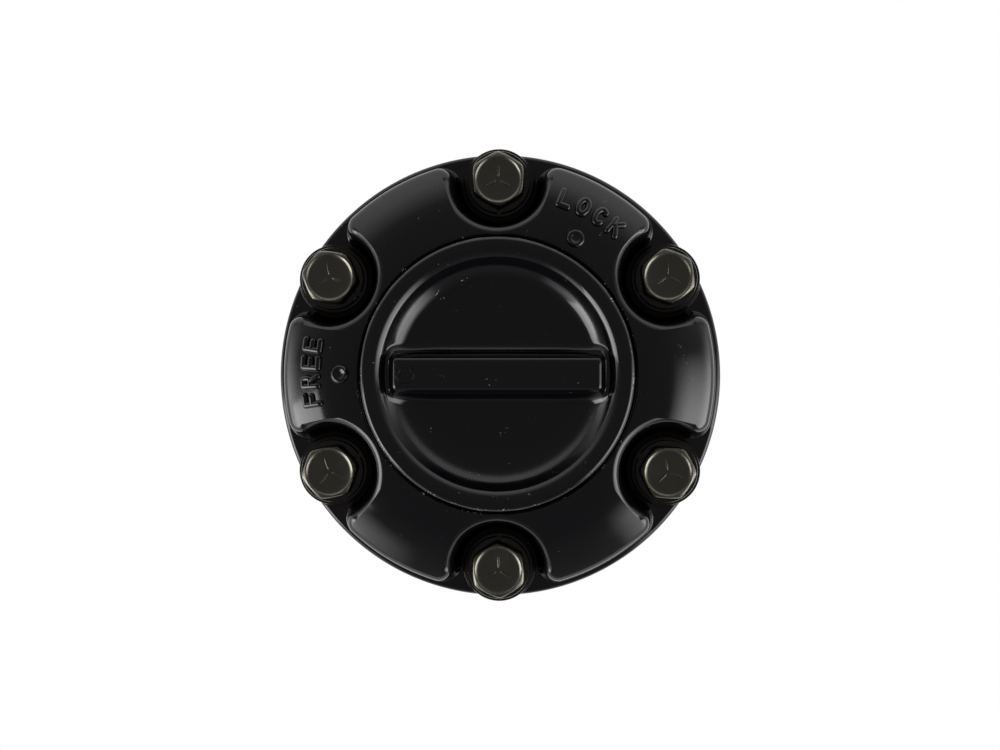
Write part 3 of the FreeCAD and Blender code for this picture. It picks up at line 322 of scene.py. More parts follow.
@dataclass
class CoverShape:
    """The domed cover with its six bolt recesses, raised seats, index dots and letters."""

    petal_radius: float = 51.4
    recess_radius: float = 9.6
    corner_radius: float = 4.3
    draft: float = 8.0
    dome_radius: float = 36.0
    dome_inner: Flat = (32.2, 17.0)
    dome_outer: Flat = (50.05, 9.6)
    bore: float = 31.5
    bore_edge: float = 0.7
    rim_rounding: float = 2.3
    shoulder_rounding: float = 2.6
    foot_rounding: float = 0.9
    foot_outside: float = 0.35
    flange_radius: float = 52.75
    flange_edge: float = 1.15
    shelf: float = 9.5
    seat_radius: float = 8.7
    seat_height: float = 0.8
    underside: tuple[Flat, ...] = (
        (35.95, JOINT), (35.95, 32.2), (34.4, 32.2), (34.4, JOINT), (33.0, JOINT),
        (29.9, JOINT), (29.9, 46.0), (24.3, 46.0), (24.3, 49.0),
    )
    dots: tuple[Flat, ...] = ((36.1, 180.0), (35.7, 60.0))
    petal_steps: int = 10
    corner_steps: int = 18
    recess_steps: int = 22
    plateau_rings: int = 18
    rounding_rings: int = 9

    def dome(self, radius: float) -> float:
        """Gives the height of the domed front above the flange, at a distance from the axle."""
        inner, outer = Vector(self.dome_inner), Vector(self.dome_outer)
        chord = outer - inner
        depth = math.sqrt(self.dome_radius**2 - chord.length_squared / 4)
        centre = (inner + outer) / 2 + Vector((chord.y, -chord.x)).normalized() * depth
        return centre.y + math.sqrt(max(self.dome_radius**2 - (radius - centre.x) ** 2, 0.0))

    def fall(self, radius: float) -> float:
        """Gives how steeply the dome falls outward, as a slope."""
        step = 0.01
        return (self.dome(radius - step) - self.dome(radius + step)) / (2 * step)

    def half_sector(self) -> list[tuple[Flat, Flat, float]]:
        """Draws the foot line from the middle of a lobe to the middle of a bolt recess.

        Returns:
            For each point its place, the direction out of the metal and how far it belongs
            to the outer wall, with the bolt on the X axis and the lobe below it.
        """
        reach = self.petal_radius - self.corner_radius
        apart = self.recess_radius + self.corner_radius
        centre_x = (BOLT_RADIUS**2 + reach**2 - apart**2) / (2 * BOLT_RADIUS)
        centre_y = -math.sqrt(reach**2 - centre_x**2)
        lobe_end = math.degrees(math.atan2(centre_y, centre_x))
        line = []
        for step in range(self.petal_steps):
            turn = blend(-30.0, lobe_end, step / self.petal_steps)
            line.append((polar(self.petal_radius, turn), polar(1.0, turn), 1.0))
        inward = math.degrees(math.atan2(-centre_y, BOLT_RADIUS - centre_x))
        for step in range(self.corner_steps):
            share = step / self.corner_steps
            out = polar(1.0, blend(lobe_end, inward, share))
            x, y = centre_x + self.corner_radius * out[0], centre_y + self.corner_radius * out[1]
            line.append(((x, y), out, 0.5 + 0.5 * math.cos(math.pi * share)))
        low = inward - 180.0
        for step in range(self.recess_steps + 1):
            way = polar(1.0, blend(low, -180.0, step / self.recess_steps))
            x, y = BOLT_RADIUS + self.recess_radius * way[0], self.recess_radius * way[1]
            line.append(((x, y), (-way[0], -way[1]), 0.0))
        return line

    def foot_line(self) -> list[EdgePoint]:
        """Repeats the half sector round the cover.

        Returns:
            All points of the closed foot line, anticlockwise.
        """
        half = self.half_sector()
        mirrored = [((p[0], -p[1]), (n[0], -n[1]), o) for p, n, o in reversed(half[1:-1])]
        sector = half + mirrored
        lobe = self.petal_steps
        gap_start = math.degrees(math.atan2(half[lobe][0][1], half[lobe][0][0]))
        points = []
        count = len(sector)
        for bolt in BOLT_ANGLES:
            cos, sin = polar(1.0, bolt)
            for place, ((x, y), (nx, ny), outer) in enumerate(sector):
                own = math.degrees(math.atan2(y, x))
                spoke = blend(-30.0, 30.0, place / count) * 0.6 + own * 0.4
                if lobe <= place <= count - lobe:
                    rim = blend(gap_start, -gap_start, (place - lobe) / (count - 2 * lobe))
                else:
                    rim = own
                points.append(EdgePoint(
                    x * cos - y * sin, x * sin + y * cos, nx * cos - ny * sin,
                    nx * sin + ny * cos, outer, bolt + spoke, bolt + rim,
                ))
        return points

    def wall_top(self, p: EdgePoint) -> WallTop:
        """Finds where the drafted wall over a point meets the dome, and rounds the corner.

        Args:
            p: The point of the foot line.

        Returns:
            The rounding, in heights above the flange.
        """
        down = math.radians(self.draft)
        x, y = p.x, p.y
        for _ in range(4):
            height = self.dome(math.hypot(x, y))
            x, y = p.x - p.out_x * height * math.tan(down), p.y - p.out_y * height * math.tan(down)
        radius = math.hypot(x, y)
        facing = (x * p.out_x + y * p.out_y) / radius
        turn = math.pi / 2 - down - math.atan(self.fall(radius) * facing)
        run = blend(self.rim_rounding, self.shoulder_rounding, p.outer) * math.tan(turn / 2)
        ax, ay = x - p.out_x * run, y - p.out_y * run
        wx, wy = x + p.out_x * run * math.sin(down), y + p.out_y * run * math.sin(down)
        return WallTop(
            Vector((ax, ay, self.dome(math.hypot(ax, ay)))), Vector((x, y, height)),
            Vector((wx, wy, height - run * math.cos(down))), math.cos(turn / 2),
        )

    def shell(self) -> bmesh.types.BMesh:
        """Grows the whole cover, from the bore over the dome and walls and back underneath.

        Returns:
            The closed mesh in millimetres.
        """
        line = self.foot_line()
        tops = [self.wall_top(p) for p in line]
        lift = FLANGE_FRONT

        def plateau(share: float) -> Placer:
            """Places a ring between the bore's edge and the start of the rounding."""

            def place(index: int) -> Point:
                """Gives the place of one point."""
                p = line[index]
                x0, y0 = polar(self.bore + self.bore_edge, p.spoke)
                start = tops[index].start
                x, y = blend(x0, start.x, share), blend(y0, start.y, share)
                return x, y, lift + self.dome(math.hypot(x, y))

            return place

        def rounding(share: float) -> Placer:
            """Places a ring on the rounding between the dome and the wall."""

            def place(index: int) -> Point:
                """Gives the place of one point."""
                spot = tops[index].at(share)
                return spot.x, spot.y, lift + spot.z

            return place

        def foot(share: float) -> Placer:
            """Places a ring on the small rounding between the wall and the flange."""

            def place(index: int) -> Point:
                """Gives the place of one point."""
                p = line[index]
                run = blend(self.foot_rounding, self.foot_outside, p.outer)
                a, c = (1 - share) ** 2, share**2
                b = 2 * 0.75 * share * (1 - share)
                shift = (c - a * math.sin(math.radians(self.draft))) * run / (a + b + c)
                rise = a * run / (a + b + c)
                return p.x + p.out_x * shift, p.y + p.out_y * shift, lift + rise

            return place

        def wall(share: float) -> Placer:
            """Places a ring on the drafted wall, between the two roundings."""

            def place(index: int) -> Point:
                """Gives the place of one point."""
                high, low = Vector(rounding(1.0)(index)), Vector(foot(0.0)(index))
                return tuple(high.lerp(low, share))

            return place

        def flange(share: float) -> Placer:
            """Places a ring on the flange, out towards its edge."""

            def place(index: int) -> Point:
                """Gives the place of one point."""
                inner = Vector(foot(1.0)(index))
                x, y = polar(self.flange_radius - self.flange_edge, line[index].rim_angle)
                return blend(inner.x, x, share), blend(inner.y, y, share), lift

            return place

        def round_level(radius: float, height: float) -> Placer:
            """Places a ring on a circle, each point at its own angle."""

            def place(index: int) -> Point:
                """Gives the place of one point."""
                p = line[index]
                angle = p.rim_angle if radius > self.bore + 2 * self.bore_edge else p.spoke
                x, y = polar(radius, angle)
                return x, y, height

            return place

        crown = lift + self.dome_inner[1]
        shell = RingSurface(len(line), round_level(self.bore, lift + self.shelf))
        shell.add(round_level(self.bore, crown - 2 * self.bore_edge))
        corner_r, corner_z = self.bore + self.bore_edge, crown - self.bore_edge
        for turn in (0.0, 22.0, 45.0, 68.0):
            x, z = polar(self.bore_edge, 180 - turn)
            shell.add(round_level(corner_r + x, corner_z + z - 0.05 * turn / 90))
        for ring in range(self.plateau_rings + 1):
            shell.add(plateau(ring / self.plateau_rings))
        for ring in range(1, self.rounding_rings + 1):
            shell.add(rounding(ring / self.rounding_rings))
        for share in (0.25, 0.5, 0.75):
            shell.add(wall(share))
        for share in (0.0, 0.2, 0.4, 0.6, 0.8, 1.0):
            shell.add(foot(share))
        for share in (0.5, 1.0):
            shell.add(flange(share))
        edge_r, edge_z = self.flange_radius - self.flange_edge, lift - self.flange_edge
        for turn in (60, 30, 0):
            x, z = polar(self.flange_edge, turn)
            shell.add(round_level(edge_r + x, edge_z + z))
        for radius, height in ((self.flange_radius, JOINT), *self.underside):
            shell.add(round_level(radius, height))
        shell.add(round_level(self.bore, self.underside[-1][1]))
        return shell.mesh

    def bolt_seat(self, angle: float) -> bmesh.types.BMesh:
        """Makes the raised seat under one washer, which ends at the flange's edge."""
        count = 96
        limit = self.flange_radius - self.flange_edge / 2
        centre = polar(BOLT_RADIUS, angle)

        def level(radius: float, height: float) -> Placer:
            """Places a ring of the seat and keeps it inside the flange's edge."""

            def place(index: int) -> Point:
                """Gives the place of one point."""
                x, y, z = circle_placer(count, radius, height, centre)(index)
                share = min(1.0, limit / math.hypot(x, y))
                return x * share, y * share, z

            return place

        top = FLANGE_FRONT + self.seat_height
        seat = RingSurface(count, level(self.seat_radius, FLANGE_FRONT - 0.3))
        for inset, drop in ((0.0, 0.35), (0.1, 0.12), (0.35, 0.0), (4.0, 0.0)):
            seat.add(level(self.seat_radius - inset, top - drop))
        seat.close_to_point((*centre, top))
        return seat.mesh

    def dot(self, radius: float, angle: float) -> bmesh.types.BMesh:
        """Makes a raised round index mark with a hollow top."""
        count = 48
        centre = polar(radius, angle)
        profile = (
            (2.2, -0.4), (2.15, 0.05), (2.0, 0.42), (1.7, 0.66), (1.35, 0.66), (1.0, 0.48),
            (0.7, 0.32), (0.35, 0.25),
        )

        def level(size: float, rise: float) -> Placer:
            """Places a ring of the mark on the dome."""

            def place(index: int) -> Point:
                """Gives the place of one point."""
                x, y, _ = circle_placer(count, size, 0.0, centre)(index)
                return x, y, FLANGE_FRONT + self.dome(math.hypot(x, y)) + rise

            return place

        mark = RingSurface(count, level(*profile[0]))
        for size, rise in profile[1:]:
            mark.add(level(size, rise))
        height = FLANGE_FRONT + self.dome(radius) + profile[-1][1]
        mark.close_to_point((*centre, height))
        return mark.mesh

    def build(self, paint: bpy.types.Material) -> None:
        """Builds the cover and everything that is cast on it."""
        parts = [self.shell()]
        parts += [self.bolt_seat(angle) for angle in BOLT_ANGLES]
        parts += [self.dot(radius, angle) for radius, angle in self.dots]
        finish_piece("cover_casting", parts, paint, Body.CASING, Slot.PAINT, ("cover",))
        Lettering(self).build(paint)


Stroke = list[Flat]


@dataclass
class Lettering:
    """The raised position words on the cover, cast as rounded strokes."""

    cover: CoverShape
    radius: float = 43.1
    height: float = 5.1
    width: float = 3.0
    thick: float = 0.8
    section: int = 12
    words: tuple[tuple[str, tuple[float, ...]], ...] = (
        ("LOCK", (68.8, 62.8, 56.9, 51.2)),
        ("FREE", (187.8, 182.2, 176.5, 171.0)),
    )

    def strokes(self, letter: str) -> list[Stroke]:
        """Draws a letter in a box that is one unit wide and high, about its centre.

        Args:
            letter: The letter.

        Returns:
            Its strokes, each a line of points.
        """
        left, right, top, low, mid = -0.5, 0.5, 0.5, -0.5, 0.02
        oval = [polar(0.5, turn) for turn in range(0, 361, 15)]
        hook = [polar(0.5, turn) for turn in range(48, 313, 12)]
        bowl = arc_points((0.15, top), (0.15, mid), -0.25, 8)
        drawn = {
            "L": [[(left, top), (left, low)], [(left, low), (right, low)]],
            "O": [oval],
            "C": [hook],
            "K": [[(left, top), (left, low)], [(right, top), (left, -0.08)],
                  [(-0.15, 0.12), (right, low)]],
            "F": [[(left, top), (left, low)], [(left, top), (right, top)],
                  [(left, mid), (0.35, mid)]],
            "R": [[(left, top), (left, low)], [(left, top), *bowl, (left, mid)],
                  [(0.05, mid), (right, low)]],
            "E": [[(left, top), (left, low)], [(left, top), (right, top)],
                  [(left, mid), (0.35, mid)], [(left, low), (right, low)]],
        }
        return drawn[letter]

    def tube(self, line: Sequence[Flat], angle: float) -> bmesh.types.BMesh:
        """Makes one stroke as a round bar with round ends, half sunk in the dome.

        Args:
            line: The stroke in the letter's own box.
            angle: Where the letter stands on the cover, in degrees.

        Returns:
            The closed mesh in millimetres.
        """
        centre, up = Vector(polar(self.radius, angle)), Vector(polar(1.0, angle))
        right = Vector((up.y, -up.x))
        inked = (self.width - self.thick, self.height - 2 * self.thick)
        flat = evenly([(x * inked[0], y * inked[1]) for x, y in line], 0.22)
        path = [centre + right * x + up * y for x, y in flat]
        spots = [
            Vector((p.x, p.y, FLANGE_FRONT + self.cover.dome(p.length) + 0.1)) for p in path
        ]
        ways = [(b - a).normalized() for a, b in zip(spots[:1] + spots, spots[1:] + spots[-1:])]
        ways[0] = (spots[1] - spots[0]).normalized()
        rings = []
        for turn in (90, 60, 30):
            back, size = math.sin(math.radians(turn)), math.cos(math.radians(turn))
            rings.append((spots[0] - ways[0] * back * self.thick, ways[0], size))
        rings += [(spot, way, 1.0) for spot, way in zip(spots, ways)]
        for turn in (30, 60, 90):
            ahead, size = math.sin(math.radians(turn)), math.cos(math.radians(turn))
            rings.append((spots[-1] + ways[-1] * ahead * self.thick, ways[-1], size))

        def ring(spot: Vector, way: Vector, size: float) -> Placer:
            """Places a ring across the stroke."""
            side = way.cross(Vector((0, 0, 1))).normalized()
            above = side.cross(way)

            def place(index: int) -> Point:
                """Gives the place of one point."""
                x, y = polar(self.thick * max(size, 0.01), 360 * index / self.section)
                return tuple(spot + side * x + above * y)

            return place

        bar = RingSurface(self.section, ring(*rings[0]))
        first = list(bar.edges)
        for spot, way, size in rings[1:]:
            bar.add(ring(spot, way, size))
        bar.cap()
        bmesh.ops.contextual_create(bar.mesh, geom=first)
        return bar.mesh

    def build(self, paint: bpy.types.Material) -> None:
        """Builds the words, each as one piece."""
        for word, angles in self.words:
            bars = [
                self.tube(stroke, angle)
                for letter, angle in zip(word, angles)
                for stroke in self.strokes(letter)
            ]
            name = f"raised_word_{word.lower()}"
            finish_piece(name, bars, paint, Body.CASING, Slot.PAINT, sharp=60.0)


@dataclass
class KnobShape:
    """The control knob: rim, two finger pockets and the grip bar with its pointer ring."""

    bar_half: Flat = (23.6, 3.6)
    bar_top: float = 20.0
    bar_draft: float = 17.0
    bar_edge: float = 1.0
    bar_foot: float = 2.2
    floor_height: float = 12.9
    floor_rise: float = 0.4
    floor_radius: float = 20.3
    wall_centre: Flat = (14.9, 27.3)
    wall_radius: float = 14.4
    floor_rounding: float = 2.5
    disc: float = 25.6
    wall_end: Flat = (26.36, 18.59)
    crest_start: Flat = (26.42, 18.66)
    crest: Flat = (29.5, 20.1)
    crest_rounding: float = 3.95
    shoulder: Flat = (29.9, 20.08)
    shoulder_rounding: float = 10.0
    edge: Flat = (31.2, 18.6)
    edge_rounding: float = 1.37
    skirt_and_stem: tuple[Flat, ...] = (
        (31.2, 16.0), (31.2, 9.8), (24.0, 9.8), (24.0, -6.1), (20.5, -6.1), (20.5, 9.5), (8.0, 9.5),
    )
    columns: int = 150
    rows: int = 190
    bar_zone: float = 7.0
    bar_rows: float = 0.52
    side_angle: float = 48.0
    pointer: Flat = (-20.8, 0.0)
    pointer_radius: float = 1.75

    def disc_map(self, u: float, v: float) -> Flat:
        """Bends a square grid to the disc inside the rim.

        The rows run along the bar and lie close together at its sides and ends.

        Args:
            u: Place along the bar, from -1 to 1.
            v: Place across the bar, from -1 to 1.

        Returns:
            The point of the disc, in millimetres.
        """
        column = math.copysign(float(np.interp(abs(u), (0, 0.34, 0.94, 1), (0, 0.83, 0.985, 1))), u)
        if abs(v) <= self.bar_rows:
            share = abs(v) / self.bar_rows
            y = float(np.interp(share, (0, 0.12, 0.9, 1), (0, 2.8, 6.4, self.bar_zone)))
            return column * math.sqrt(self.disc**2 - y * y), math.copysign(y, v)
        share = (abs(v) - self.bar_rows) / (1 - self.bar_rows)
        share = float(np.interp(share, (0, 0.35, 1), (0, 0.6, 1)))
        low = math.degrees(math.asin(self.bar_zone / self.disc))
        half = (column + 1) / 2
        chord = Vector((column * math.sqrt(self.disc**2 - self.bar_zone**2), self.bar_zone))
        top = Vector(polar(self.disc, blend(180 - self.side_angle, self.side_angle, half)))
        left = Vector(polar(self.disc, 180 - blend(low, self.side_angle, share)))
        right = Vector((-left.x, left.y))
        corners = [Vector(polar(self.disc, turn)) for turn in (180 - low, low)]
        corners += [Vector(polar(self.disc, t)) for t in (180 - self.side_angle, self.side_angle)]
        spot = chord.lerp(top, share) + left.lerp(right, half)
        spot -= corners[0].lerp(corners[1], half).lerp(corners[2].lerp(corners[3], half), share)
        return spot.x, math.copysign(spot.y, v)

    def surface(self, x: np.ndarray, y: np.ndarray) -> np.ndarray:
        """Finds the height of the bowl and bar, joined by roundings, above each point.

        Args:
            x: Places along the bar.
            y: Places across the bar.

        Returns:
            The heights above the flange.
        """

        def joined(a: np.ndarray, b: np.ndarray, size: float) -> np.ndarray:
            """Joins two solids with a rounding in their inner corner."""
            hollow = np.hypot(np.maximum(size - a, 0), np.maximum(size - b, 0))
            return np.maximum(size, np.minimum(a, b)) - hollow

        radius = np.hypot(x, y)
        lean = math.tan(math.radians(self.bar_draft))
        square = math.cos(math.radians(self.bar_draft))
        low = np.full_like(x, self.floor_height - 1.0)
        high = np.full_like(x, self.crest[1] + 1.0)
        for _ in range(40):
            z = (low + high) / 2
            floor = z - self.floor_height - self.floor_rise * (radius / self.floor_radius) ** 2
            below = np.minimum(z - self.wall_centre[1], 0.0)
            wall = self.wall_radius - np.hypot(radius - self.wall_centre[0], below)
            wall = np.where(radius < self.wall_centre[0], self.wall_radius + below, wall)
            bowl = joined(floor, wall, self.floor_rounding)
            grow = (self.bar_top - z) * lean
            side = [
                (np.abs(x) - self.bar_half[0] - grow) * square + self.bar_edge,
                (np.abs(y) - self.bar_half[1] - grow) * square + self.bar_edge,
                z - self.bar_top + self.bar_edge,
            ]
            outside = np.sqrt(sum(np.maximum(part, 0.0) ** 2 for part in side))
            inside = np.minimum(np.maximum.reduce(side), 0.0)
            bar = outside + inside - self.bar_edge
            solid = joined(bowl, bar, self.bar_foot) <= 0
            low = np.where(solid, z, low)
            high = np.where(solid, high, z)
        return (low + high) / 2

    def rim_profile(self) -> list[Flat]:
        """Draws the section from the disc over the crest and down to the seam.

        Returns:
            Radii and heights above the flange.
        """
        wall_low = math.acos((self.disc - self.wall_centre[0]) / self.wall_radius)
        reach = self.wall_radius * math.sin(wall_low)
        start = (self.disc, self.wall_centre[1] - reach)
        line = arc_points(start, self.wall_end, self.wall_radius, 4)
        line += arc_points(self.crest_start, self.crest, -self.crest_rounding, 14)
        line += arc_points(self.crest, self.shoulder, -self.shoulder_rounding, 10)[1:]
        line += arc_points(self.shoulder, self.edge, -self.edge_rounding, 10)[1:]
        return soften(evenly(line, 0.14), 5)

    def shell(self) -> bmesh.types.BMesh:
        """Bends a grid into the bowl and bar, then grows the rim and the stem from its edge.

        Returns:
            The closed mesh in millimetres.
        """
        mesh = bmesh.new()
        bmesh.ops.create_grid(
            mesh, x_segments=self.columns, y_segments=self.rows, size=1.0
        )
        spots = [self.disc_map(vert.co.x, vert.co.y) for vert in mesh.verts]
        x, y = np.array(spots).T
        heights = self.surface(x, y)
        for vert, px, py, height in zip(mesh.verts, x, y, heights):
            vert.co = (px, py, FLANGE_FRONT + height)
        edges = [edge for edge in mesh.edges if edge.is_boundary]
        for radius, height in (*self.rim_profile()[1:], *self.skirt_and_stem):
            verts, edges = extrude_ring(mesh, edges)
            for vert in verts:
                stretch = radius / math.hypot(vert.co.x, vert.co.y)
                spot = (vert.co.x * stretch, vert.co.y * stretch, FLANGE_FRONT + height)
                vert.co = spot
        bmesh.ops.pointmerge(mesh, verts=verts, merge_co=(0.0, 0.0, spot[2]))
        return mesh

    def pointer_ring(self) -> bmesh.types.BMesh:
        """Makes the thin raised ring on the bar that points at FREE or LOCK."""
        count = 48
        top = FLANGE_FRONT + self.bar_top
        section = [(0.42, -0.3), (0.42, 0.0), (0.3, 0.16), (0.0, 0.24), (-0.3, 0.16), (-0.42, 0.0),
                   (-0.42, -0.3), (0.42, -0.3)]
        rings = [(self.pointer_radius + x, top + rise) for x, rise in section]
        first = circle_placer(count, *rings[0], self.pointer)
        return RingSurface(count, first).lathe(rings[1:], self.pointer).mesh

    def build(self, paint: bpy.types.Material) -> None:
        """Builds the knob with its pointer."""
        parts = [self.shell(), self.pointer_ring()]
        finish_piece("knob_casting", parts, paint, Body.KNOB, Slot.PAINT, ("control_knob",))


@dataclass
class BoltShape:
    """A hub bolt: a hexagon head with wear-rounded corners and a hollow top, and the thread that
    stands out behind.
    """

    across: float = 12.0
    corner_radius: float = 6.62
    low: float = 43.9
    top: float = 49.4
    thread: float = 4.0
    tip: float = -11.1
    pitch: float = 1.25
    thread_depth: float = 0.55
    thread_top: float = -0.3
    thread_steps: int = 8
    tip_bevel: float = 0.9
    shank: float = 3.6
    lip: float = 5.6
    bevel: float = 0.577
    # Each lip ring: radius, drop below the top, and its share of the lighter rim colour, which is
    # partly wear and partly painted highlight.
    lip_section: tuple[tuple[float, float, float], ...] = (
        (5.66, 0.07, 0.1), (5.5, 0.0, 0.75), (5.4, 0.02, 0.9), (5.24, 0.16, 0.15),
        (5.02, 0.32, 0.0), (4.7, 0.42, 0.0), (3.8, 0.5, 0.0), (2.4, 0.57, 0.0), (1.0, 0.61, 0.0),
    )
    count: int = 72
    mark_length: float = 3.0
    mark_angles: tuple[float, ...] = (88.0, 210.0, 328.0)

    def hexagon(self, share: float, turn: float) -> float:
        """Gives the radius of the rounded hexagon at one angle.

        Args:
            share: 1 on the flats' full hexagon, 0 on a circle inside it.
            turn: Angle from a corner, in degrees.

        Returns:
            The radius in millimetres.
        """
        off = (turn % 60) - 30
        flat = self.across / 2 / math.cos(math.radians(off))
        hard = 26
        rounded = (flat**-hard + self.corner_radius**-hard) ** (-1 / hard)
        return blend(self.across / 2, rounded, share)

    def head(self, centre: Flat, turn: float) -> bmesh.types.BMesh:
        """Makes the head and the shank of one bolt."""

        def hexed(share: float, inset: float, height: float) -> Placer:
            """Places a ring of the head."""

            def place(index: int) -> Point:
                """Gives the place of one point."""
                angle = 360 * index / self.count
                x, y = polar(self.hexagon(share, angle) - inset, angle + turn)
                return centre[0] + x, centre[1] + y, height

            return place

        def bevelled(drop: float) -> Placer:
            """Places a ring where the cone of the corner bevel cuts the hexagon."""

            def place(index: int) -> Point:
                """Gives the place of one point."""
                angle = 360 * index / self.count
                radius = self.hexagon(1.0, angle)
                x, y = polar(radius, angle + turn)
                height = self.top - drop - (radius - self.lip) * self.bevel
                return centre[0] + x, centre[1] + y, height

            return place

        top = self.top
        bolt = RingSurface(self.count, hexed(1.0, 0.25, self.low))
        # The second number of each ring is its share of the lighter rim colour, partly wear and
        # partly painted highlight along the edges and lip.
        bolt.add(hexed(1.0, 0.0, self.low + 0.25), 0.2)
        bolt.add(bevelled(0.9))
        bolt.add(bevelled(0.42), 0.1)
        bolt.add(hexed(0.72, 0.05, top - 0.36), 0.22)
        bolt.add(hexed(0.4, 0.14, top - 0.2), 0.1)
        for radius, drop, rim in self.lip_section:
            bolt.add(hexed(0.0, self.across / 2 - radius, top - drop), rim)
        bolt.close_to_point((*centre, top - 0.62))
        return bolt.mesh

    def shank_and_thread(self, centre: Flat) -> bmesh.types.BMesh:
        """Makes the shank with a helical thread on the length that stands out behind."""
        rings = int((self.thread_top - self.tip) / self.pitch * self.thread_steps)

        def level(height: float) -> Placer:
            """Places a ring of the thread, whose depth goes round with the helix."""

            def place(index: int) -> Point:
                """Gives the place of one point."""
                phase = (height / self.pitch - index / self.count) % 1.0
                groove = self.thread_depth * abs(2 * phase - 1)
                fade = min(1.0, (height - self.tip) / self.tip_bevel)
                radius = blend(self.thread - self.tip_bevel, self.thread - groove, fade)
                x, y = polar(radius, 360 * index / self.count)
                return centre[0] + x, centre[1] + y, height

            return place

        shank = RingSurface(self.count, level(self.tip))
        first = list(shank.edges)
        for ring in range(1, rings + 1):
            shank.add(level(blend(self.tip, self.thread_top, ring / rings)))
        ends = [(self.thread, 0.0), (self.shank, self.thread - self.shank)]
        shank.lathe([*ends, (self.shank, self.low + 0.5)], centre)
        shank.cap()
        bmesh.ops.contextual_create(shank.mesh, geom=first)
        return shank.mesh

    def mark(self, centre: Flat, angle: float) -> bmesh.types.BMesh:
        """Makes one short raised line of the strength mark on a head."""
        mesh = bmesh.new()
        made = bmesh.ops.create_uvsphere(mesh, u_segments=14, v_segments=8, radius=1.0)["verts"]
        bmesh.ops.scale(mesh, vec=(self.mark_length / 2, 0.26, 0.13), verts=made)
        bmesh.ops.translate(mesh, vec=(2.0, 0.0, 0.0), verts=made)
        cos, sin = polar(1.0, angle)
        for vert in made:
            x, y, z = vert.co
            lift = self.top - 0.61 + 0.008 * math.hypot(x, y) ** 2
            vert.co = (centre[0] + x * cos - y * sin, centre[1] + x * sin + y * cos, lift + z)
        return mesh

    def build(self, finish: bpy.types.Material) -> None:
        """Builds all six bolts as one piece."""
        parts = []
        for angle, turn in zip(BOLT_ANGLES, HEAD_TURNS):
            centre = polar(BOLT_RADIUS, angle)
            parts.append(self.head(centre, angle + turn))
            parts.append(self.shank_and_thread(centre))
            parts += [self.mark(centre, way + turn / 2) for way in self.mark_angles]
        finish_piece("bolts_dressed", parts, finish, Body.CASING, Slot.BOLT, ("hub_bolts",))


@dataclass
class WasherShape:
    """The plain washer and the split spring washer under each bolt head."""

    hole: float = 4.2
    plain_radius: float = 8.2
    plain_low: float = 40.3
    plain_thick: float = 1.6
    spring_radius: float = 7.4
    spring_thick: float = 2.0
    split: float = 4.0
    split_steps: int = 64
    edge: float = 0.28
    count: int = 72

    def plain(self, centre: Flat) -> bmesh.types.BMesh:
        """Makes a stamped plain washer with its rounded upper edge."""
        low, high = self.plain_low, self.plain_low + self.plain_thick
        size, edge = self.plain_radius, self.edge
        rings = [(self.hole, low), (size - 0.1, low), (size, low + 0.15), (size, high - edge)]
        rings += [(size - edge * 0.3, high - edge * 0.3), (size - edge, high)]
        rings += [(self.hole, high), (self.hole, low)]
        first = circle_placer(self.count, *rings[0], centre)
        return RingSurface(self.count, first).lathe(rings[1:], centre).mesh

    def spring(self, centre: Flat, start: float) -> bmesh.types.BMesh:
        """Makes a split washer, whose ends stand apart in height.

        Args:
            centre: The bolt's place.
            start: Where the split lies, in degrees.

        Returns:
            The closed mesh in millimetres.
        """
        low = self.plain_low + self.plain_thick
        edge, size, high = self.edge, self.spring_radius, self.spring_thick
        section = [
            (self.hole, 0.1), (self.hole + 0.1, 0.0), (size - edge, 0.0), (size, edge),
            (size, high - edge), (size - edge * 0.3, high - edge * 0.3), (size - edge, high),
            (self.hole + 0.2, high), (self.hole, high - 0.2),
        ]
        steps = self.split_steps

        def cut(share: float) -> Placer:
            """Places a section of the ring."""

            def place(index: int) -> Point:
                """Gives the place of one point."""
                radius, rise = section[index]
                x, y = polar(radius, start + blend(self.split, 360 - self.split, share))
                return centre[0] + x, centre[1] + y, low + rise

            return place

        ring = RingSurface(len(section), cut(0.0))
        first = list(ring.edges)
        for step in range(1, steps + 1):
            ring.add(cut(step / steps))
        ring.cap()
        bmesh.ops.contextual_create(ring.mesh, geom=first)
        return ring.mesh

    def build(self, finish: bpy.types.Material) -> None:
        """Builds both sets of washers."""
        centres = [polar(BOLT_RADIUS, angle) for angle in BOLT_ANGLES]
        plain = [self.plain(centre) for centre in centres]
        finish_piece(
            "plain_washers_dressed", plain, finish, Body.CASING, Slot.WASHER, ("plain_washers",)
        )
        split = [self.spring(c, a + 180) for c, a in zip(centres, BOLT_ANGLES)]
        finish_piece(
            "spring_washers_dressed", split, finish, Body.CASING, Slot.WASHER, ("spring_washers",)
        )


